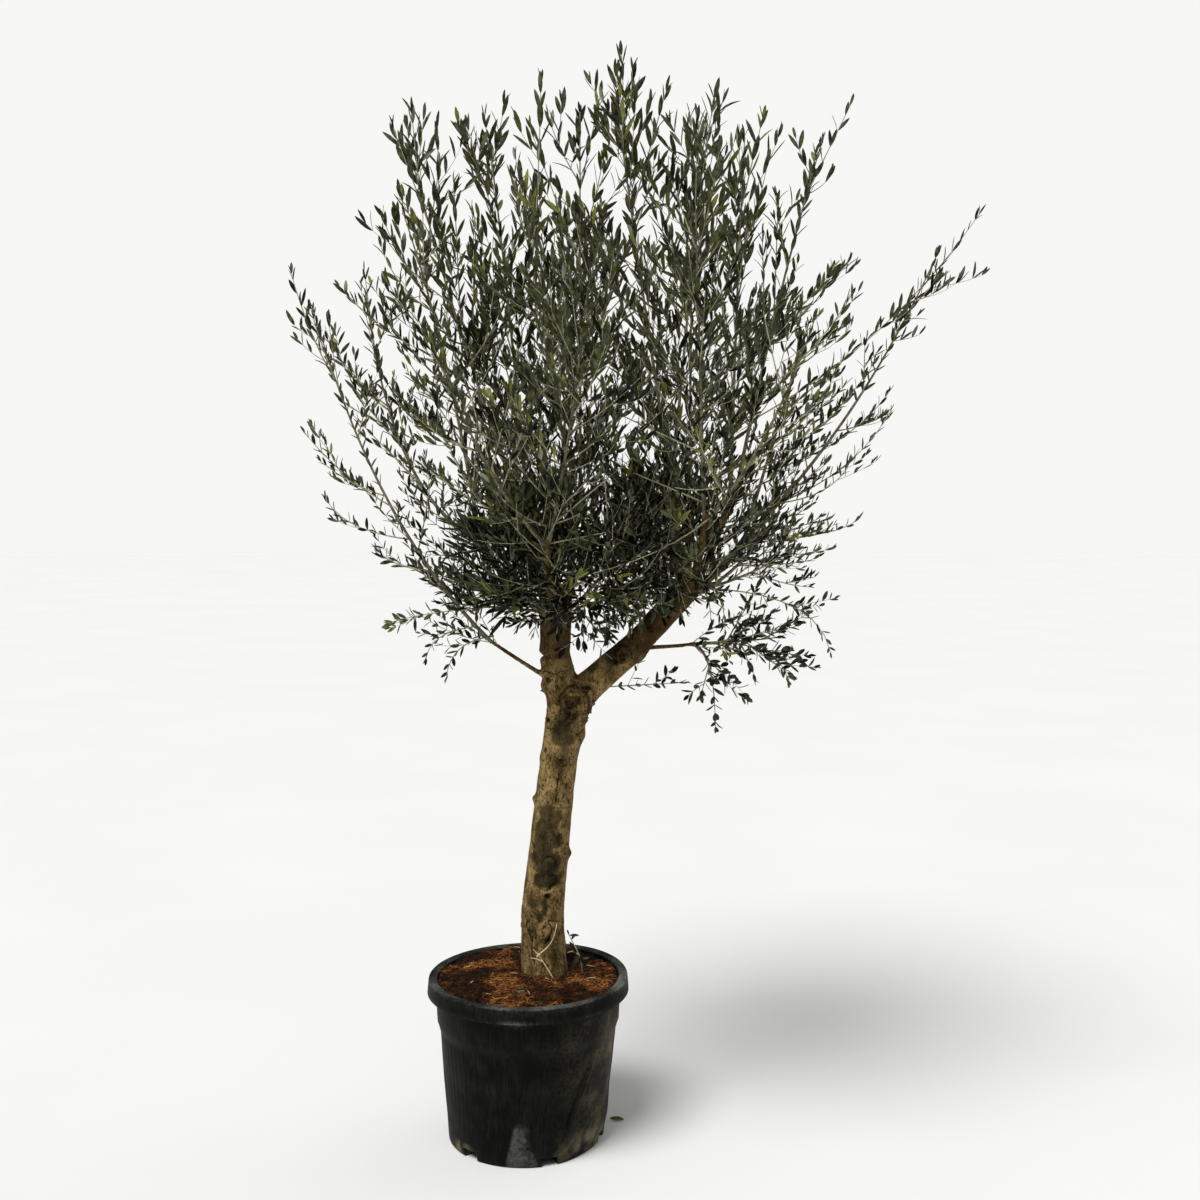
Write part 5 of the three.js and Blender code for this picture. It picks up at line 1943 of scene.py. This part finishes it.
    def dress(self) -> None:
        """Puts twigs and leaves, in zones of the crown, in place of the masses' plain solids."""
        growths = self.grow()
        for zone in Zone:
            members = [growth for growth in growths if zone_of(growth) is zone]
            twigs, leaves = Batch(), Batch()
            count = sum(self.add_mass(growth, twigs, leaves) for growth in members)
            names = [f"foliage_{growth.mass.name}" for growth in members]
            for piece, slot in (
                (twigs.piece(f"twigs_{zone.value}", [TWIG_OLD, TWIG_YOUNG, TWIG_PALE]), "bark"),
                (leaves.piece(f"leaves_{zone.value}", LEAF_FINISHES, crease=35.0), "foliage"),
            ):
                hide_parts(*names)
            log.info("%s: %d leaves", zone.value, count)

    def add_mass(self, growth: Growth, twigs: Batch, leaves: Batch) -> int:
        """Adds one mass's twigs and leaves.

        Args:
            growth: The mass.
            twigs: What its twigs are added to.
            leaves: What its leaves are added to.

        Returns:
            The number of leaves.
        """
        rng = np.random.default_rng(1000 + mass_seed(growth.mass))
        for shoots, radii, sides, rings, slot in (
            ([growth.stem], (4.6, 1.2), 6, 16, 0),
            ([*growth.shoots, *growth.leaders], (1.8, 0.8), 4, 8, 1),
            (growth.fine, (1.4, 0.7), 3, 5, 1),
            (growth.twiglets, (0.9, 0.5), 3, 3, 1),
            (growth.bare, (1.9, 0.8), 4, 6, 2),
        ):
            for shoot in shoots:
                twigs.tube(shoot, np.linspace(*radii, rings + 1), sides, rings, slot)
        others = [*growth.shoots, *growth.leaders, *growth.fine, *growth.twiglets]
        bare_shares = [growth.mass.bare] + [0.12] * len(others)
        count = 0
        for path, bare in zip([growth.stem, *others], bare_shares):
            rows = self.leaf_rows(path, bare, growth.mass.leaf, rng)
            middles = rows["roots"] + rows["along"] * (rows["lengths"] * 0.6)[:, None]
            clear = self.wood.clear_of(middles, 2.0)
            rows = {name: values[clear] for name, values in rows.items()}
            count += self.leaf.build(leaves, self.tone_of(path, rng), **rows)
        return count


class Zone(Enum):
    """The zones of the crown, each with its own pieces."""

    INNER = "inner"
    LEFT = "left"
    TOP_LEFT = "top_left"
    TOP_RIGHT = "top_right"
    RIGHT = "right"
    FRONT = "front"
    BACK = "back"


def zone_of(growth: Growth) -> Zone:
    """The zone in which a mass's stem ends.

    Args:
        growth: The mass.

    Returns:
        The zone.
    """
    across, back, up = growth.stem.at(1.0)
    if abs(back) > 260.0:
        return Zone.BACK if back > 0 else Zone.FRONT
    if abs(across - 190.0) < 260.0 and up < 1500.0:
        return Zone.INNER
    if up > 2100.0:
        return Zone.TOP_RIGHT if across > 190.0 else Zone.TOP_LEFT
    return Zone.RIGHT if across > 190.0 else Zone.LEFT


def mass_seed(mass: Mass) -> int:
    """The seed of a mass's finer growth."""
    return 97 + 31 * mass.seed


# ---- Twigs at the trunk's foot ----


@dataclass
class FootTwigs:
    """Small things at the trunk's foot: a dead forked twig that leans on it, a sucker, and fallen leaves."""

    dead: tuple[tuple[Place, ...], ...] = (
        ((60, -52, 384), (44, -46, 409), (26, -41, 436)),
        ((26, -41, 436), (46, -42, 454), (57, -44, 470), (64, -46, 490), (68, -47, 510)),
        ((27, -41, 436), (20, -41, 442), (14, -43, 450)),
        ((36, -43, 421), (22, -43, 427), (8, -46, 431)),
    )
    knot: tuple[Place, ...] = ((21, -41, 430), (26, -42, 435), (31, -42, 441))
    sucker: tuple[tuple[Place, ...], ...] = (
        ((125, 2, 376), (122, -4, 412), (110, -8, 442), (94, -10, 474)),
        ((117, -6, 425), (104, -4, 432), (90, 0, 428)),
    )
    leaves: tuple[tuple[Tone, Place, Place, float], ...] = (
        # the sucker's leaves take the darker tone, as painted shade
        (Tone.DEEP, (95, -10, 472), (0.8, -0.2, 0.1), 24),
        (Tone.DEEP, (95, -10, 473), (-0.3, -0.1, 0.8), 14),
        (Tone.DEEP, (118, -6, 424), (-0.55, -0.3, -0.75), 34),
        (Tone.DEEP, (119, -6, 423), (0.5, -0.3, -0.8), 30),
        (Tone.DEEP, (121, -4, 412), (0.8, -0.1, 0.25), 22),
        (Tone.DEEP, (100, -10, 462), (0.5, 0.4, 0.6), 18),
        (Tone.DEEP, (112, -6, 428), (-0.4, -0.3, 0.85), 36),
        (Tone.MATURE, (-24, -122, 376), (0.9, -0.2, 0.3), 25),
        (Tone.YOUNG, (188, 62, 5), (0.96, -0.2, 0.06), 36),
    )  # root, direction and length: seven on the sucker, one fallen on the soil and one beside the container

    def dress(self) -> None:
        """Builds all of them. They stand for no solid of their own: they lie loose, or are small and thin."""
        dead, live, leaves = Batch(), Batch(), Batch()
        for places in self.dead:
            dead.tube(Path.through(places, 5), np.linspace(2.0, 0.9, 9), 5, 8)
        dead.tube(Path.through(self.knot, 5), np.array([0.8, 2.6, 3.6, 2.4, 0.8]), 6, 4)
        for places in self.sucker:
            live.tube(Path.through(places, 5), np.linspace(1.8, 0.9, 9), 5, 8)
        for tone in (Tone.DEEP, Tone.MATURE, Tone.YOUNG):
            rows = [row[1:] for row in self.leaves if row[0] is tone]
            roots, along, lengths = (np.array(column, float) for column in zip(*rows))
            facing = np.array([[0.1, -0.6, 0.8]] * len(roots))
            curls = np.full(len(roots), 0.08)
            LeafShape().build(leaves, tone, roots, unit(along), facing, lengths, lengths * 0.33, curls)
        for piece, slot in (
            (dead.piece("dead_twig", [DEAD_WOOD]), "bark"),
            (live.piece("sucker", [TWIG_YOUNG]), "bark"),
            (leaves.piece("sucker_leaves", LEAF_FINISHES, crease=35.0), "foliage"),
        ):
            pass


# ---- Stage ----
@dataclass
class Stage:
    """A pale floor, soft studio light and the camera."""

    camera_place: Place = (166.0, -3253.0, 1500.0)
    camera_pitch: float = -4.48  # degrees above the horizon
    focal_length: float = 43.2  # mm, on a sensor 36 mm wide
    sensor_width: float = 36.0
    floor_size: float = 60000.0
    sky: tuple[tuple[float, str], ...] = ((0.0, "#5c5c5a"), (0.3, "#7d7d7a"), (0.9, "#ffffff"))
    sky_strength: float = 0.52
    backdrop: str = "#f7f7f5"
    lamps: tuple[tuple[str, Place, float, float], ...] = (
        ("key", (-0.7, -0.9, 1.9), 30.0, 3.0),
        ("fill", (1.6, 1.2, 1.5), 60.0, 0.4),
    )  # name, the way from which it shines, its apparent width in degrees, strength

    def floor(self) -> None:
        """A wide sheet of pale seamless paper."""
        half = self.floor_size / 2.0
        corners = np.array([[-half, -half, 0], [half, -half, 0], [half, half, 0], [-half, half, 0]], float)
        batch = Batch()
        batch.add(corners, [np.array([[0, 1, 2, 3]])], [0])
        sheet = link("floor", batch.mesh("floor"))
        sheet.data.materials.append(PAPER.material())

    def light(self) -> None:
        """A soft sky, brighter overhead, in front of a plain pale backdrop, and two wide distant lamps."""
        world = bpy.data.worlds.new("studio")
        world.use_nodes = True
        tree = world.node_tree
        tree.nodes.clear()
        view = add_node(tree, "TexCoord").outputs["Generated"]
        height = add_node(tree, "SeparateXYZ", links={0: view}).outputs["Z"]
        sky = add_node(tree, "ValToRGB", {"stops": self.sky}, {"Fac": height}).outputs["Color"]
        soft = add_node(tree, "Background", {"Strength": self.sky_strength}, {"Color": sky}).outputs[0]
        plain = add_node(tree, "Background", {"Color": linear(self.backdrop)}).outputs[0]
        seen = add_node(tree, "LightPath").outputs["Is Camera Ray"]
        both = add_node(tree, "MixShader", links={0: seen, 1: soft, 2: plain}).outputs[0]
        add_node(tree, "OutputWorld", links={"Surface": both})
        bpy.context.scene.world = world
        for name, (across, back, up), width, strength in self.lamps:
            lamp = bpy.data.lights.new(name, "SUN")
            lamp.angle, lamp.energy = math.radians(width), strength
            tilt = math.atan2(math.hypot(across, back), up)
            link(name, lamp).rotation_euler = (tilt, 0.0, math.atan2(across, -back))

    def camera(self) -> None:
        """The camera, level across and pitched slightly down."""
        eye = bpy.data.cameras.new("camera")
        eye.lens, eye.sensor_width = self.focal_length, self.sensor_width
        eye.clip_end = 200.0
        holder = link("camera", eye)
        holder.location = np.array(self.camera_place) * MM
        holder.rotation_euler = (math.radians(90.0 + self.camera_pitch), 0.0, 0.0)
        bpy.context.scene.camera = holder
        bpy.context.scene.view_settings.view_transform = "Standard"


def corners(box: Sequence[Sequence[float]]) -> list[list[float]]:
    """A box's two corners as plain lists."""
    return [[float(value) for value in corner] for corner in box]


def main() -> None:
    """Builds the tree from the ground up."""
    logging.basicConfig(level=logging.INFO, format="%(name)s: %(message)s")
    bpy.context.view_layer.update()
    stage, wood = Stage(), Wood()
    stage.floor()
    stage.light()
    stage.camera()
    for part in (Container(), GrowingMedium(), wood, Crown(wood), FootTwigs()):
        part.dress()


if __name__ == "__main__":
    main()
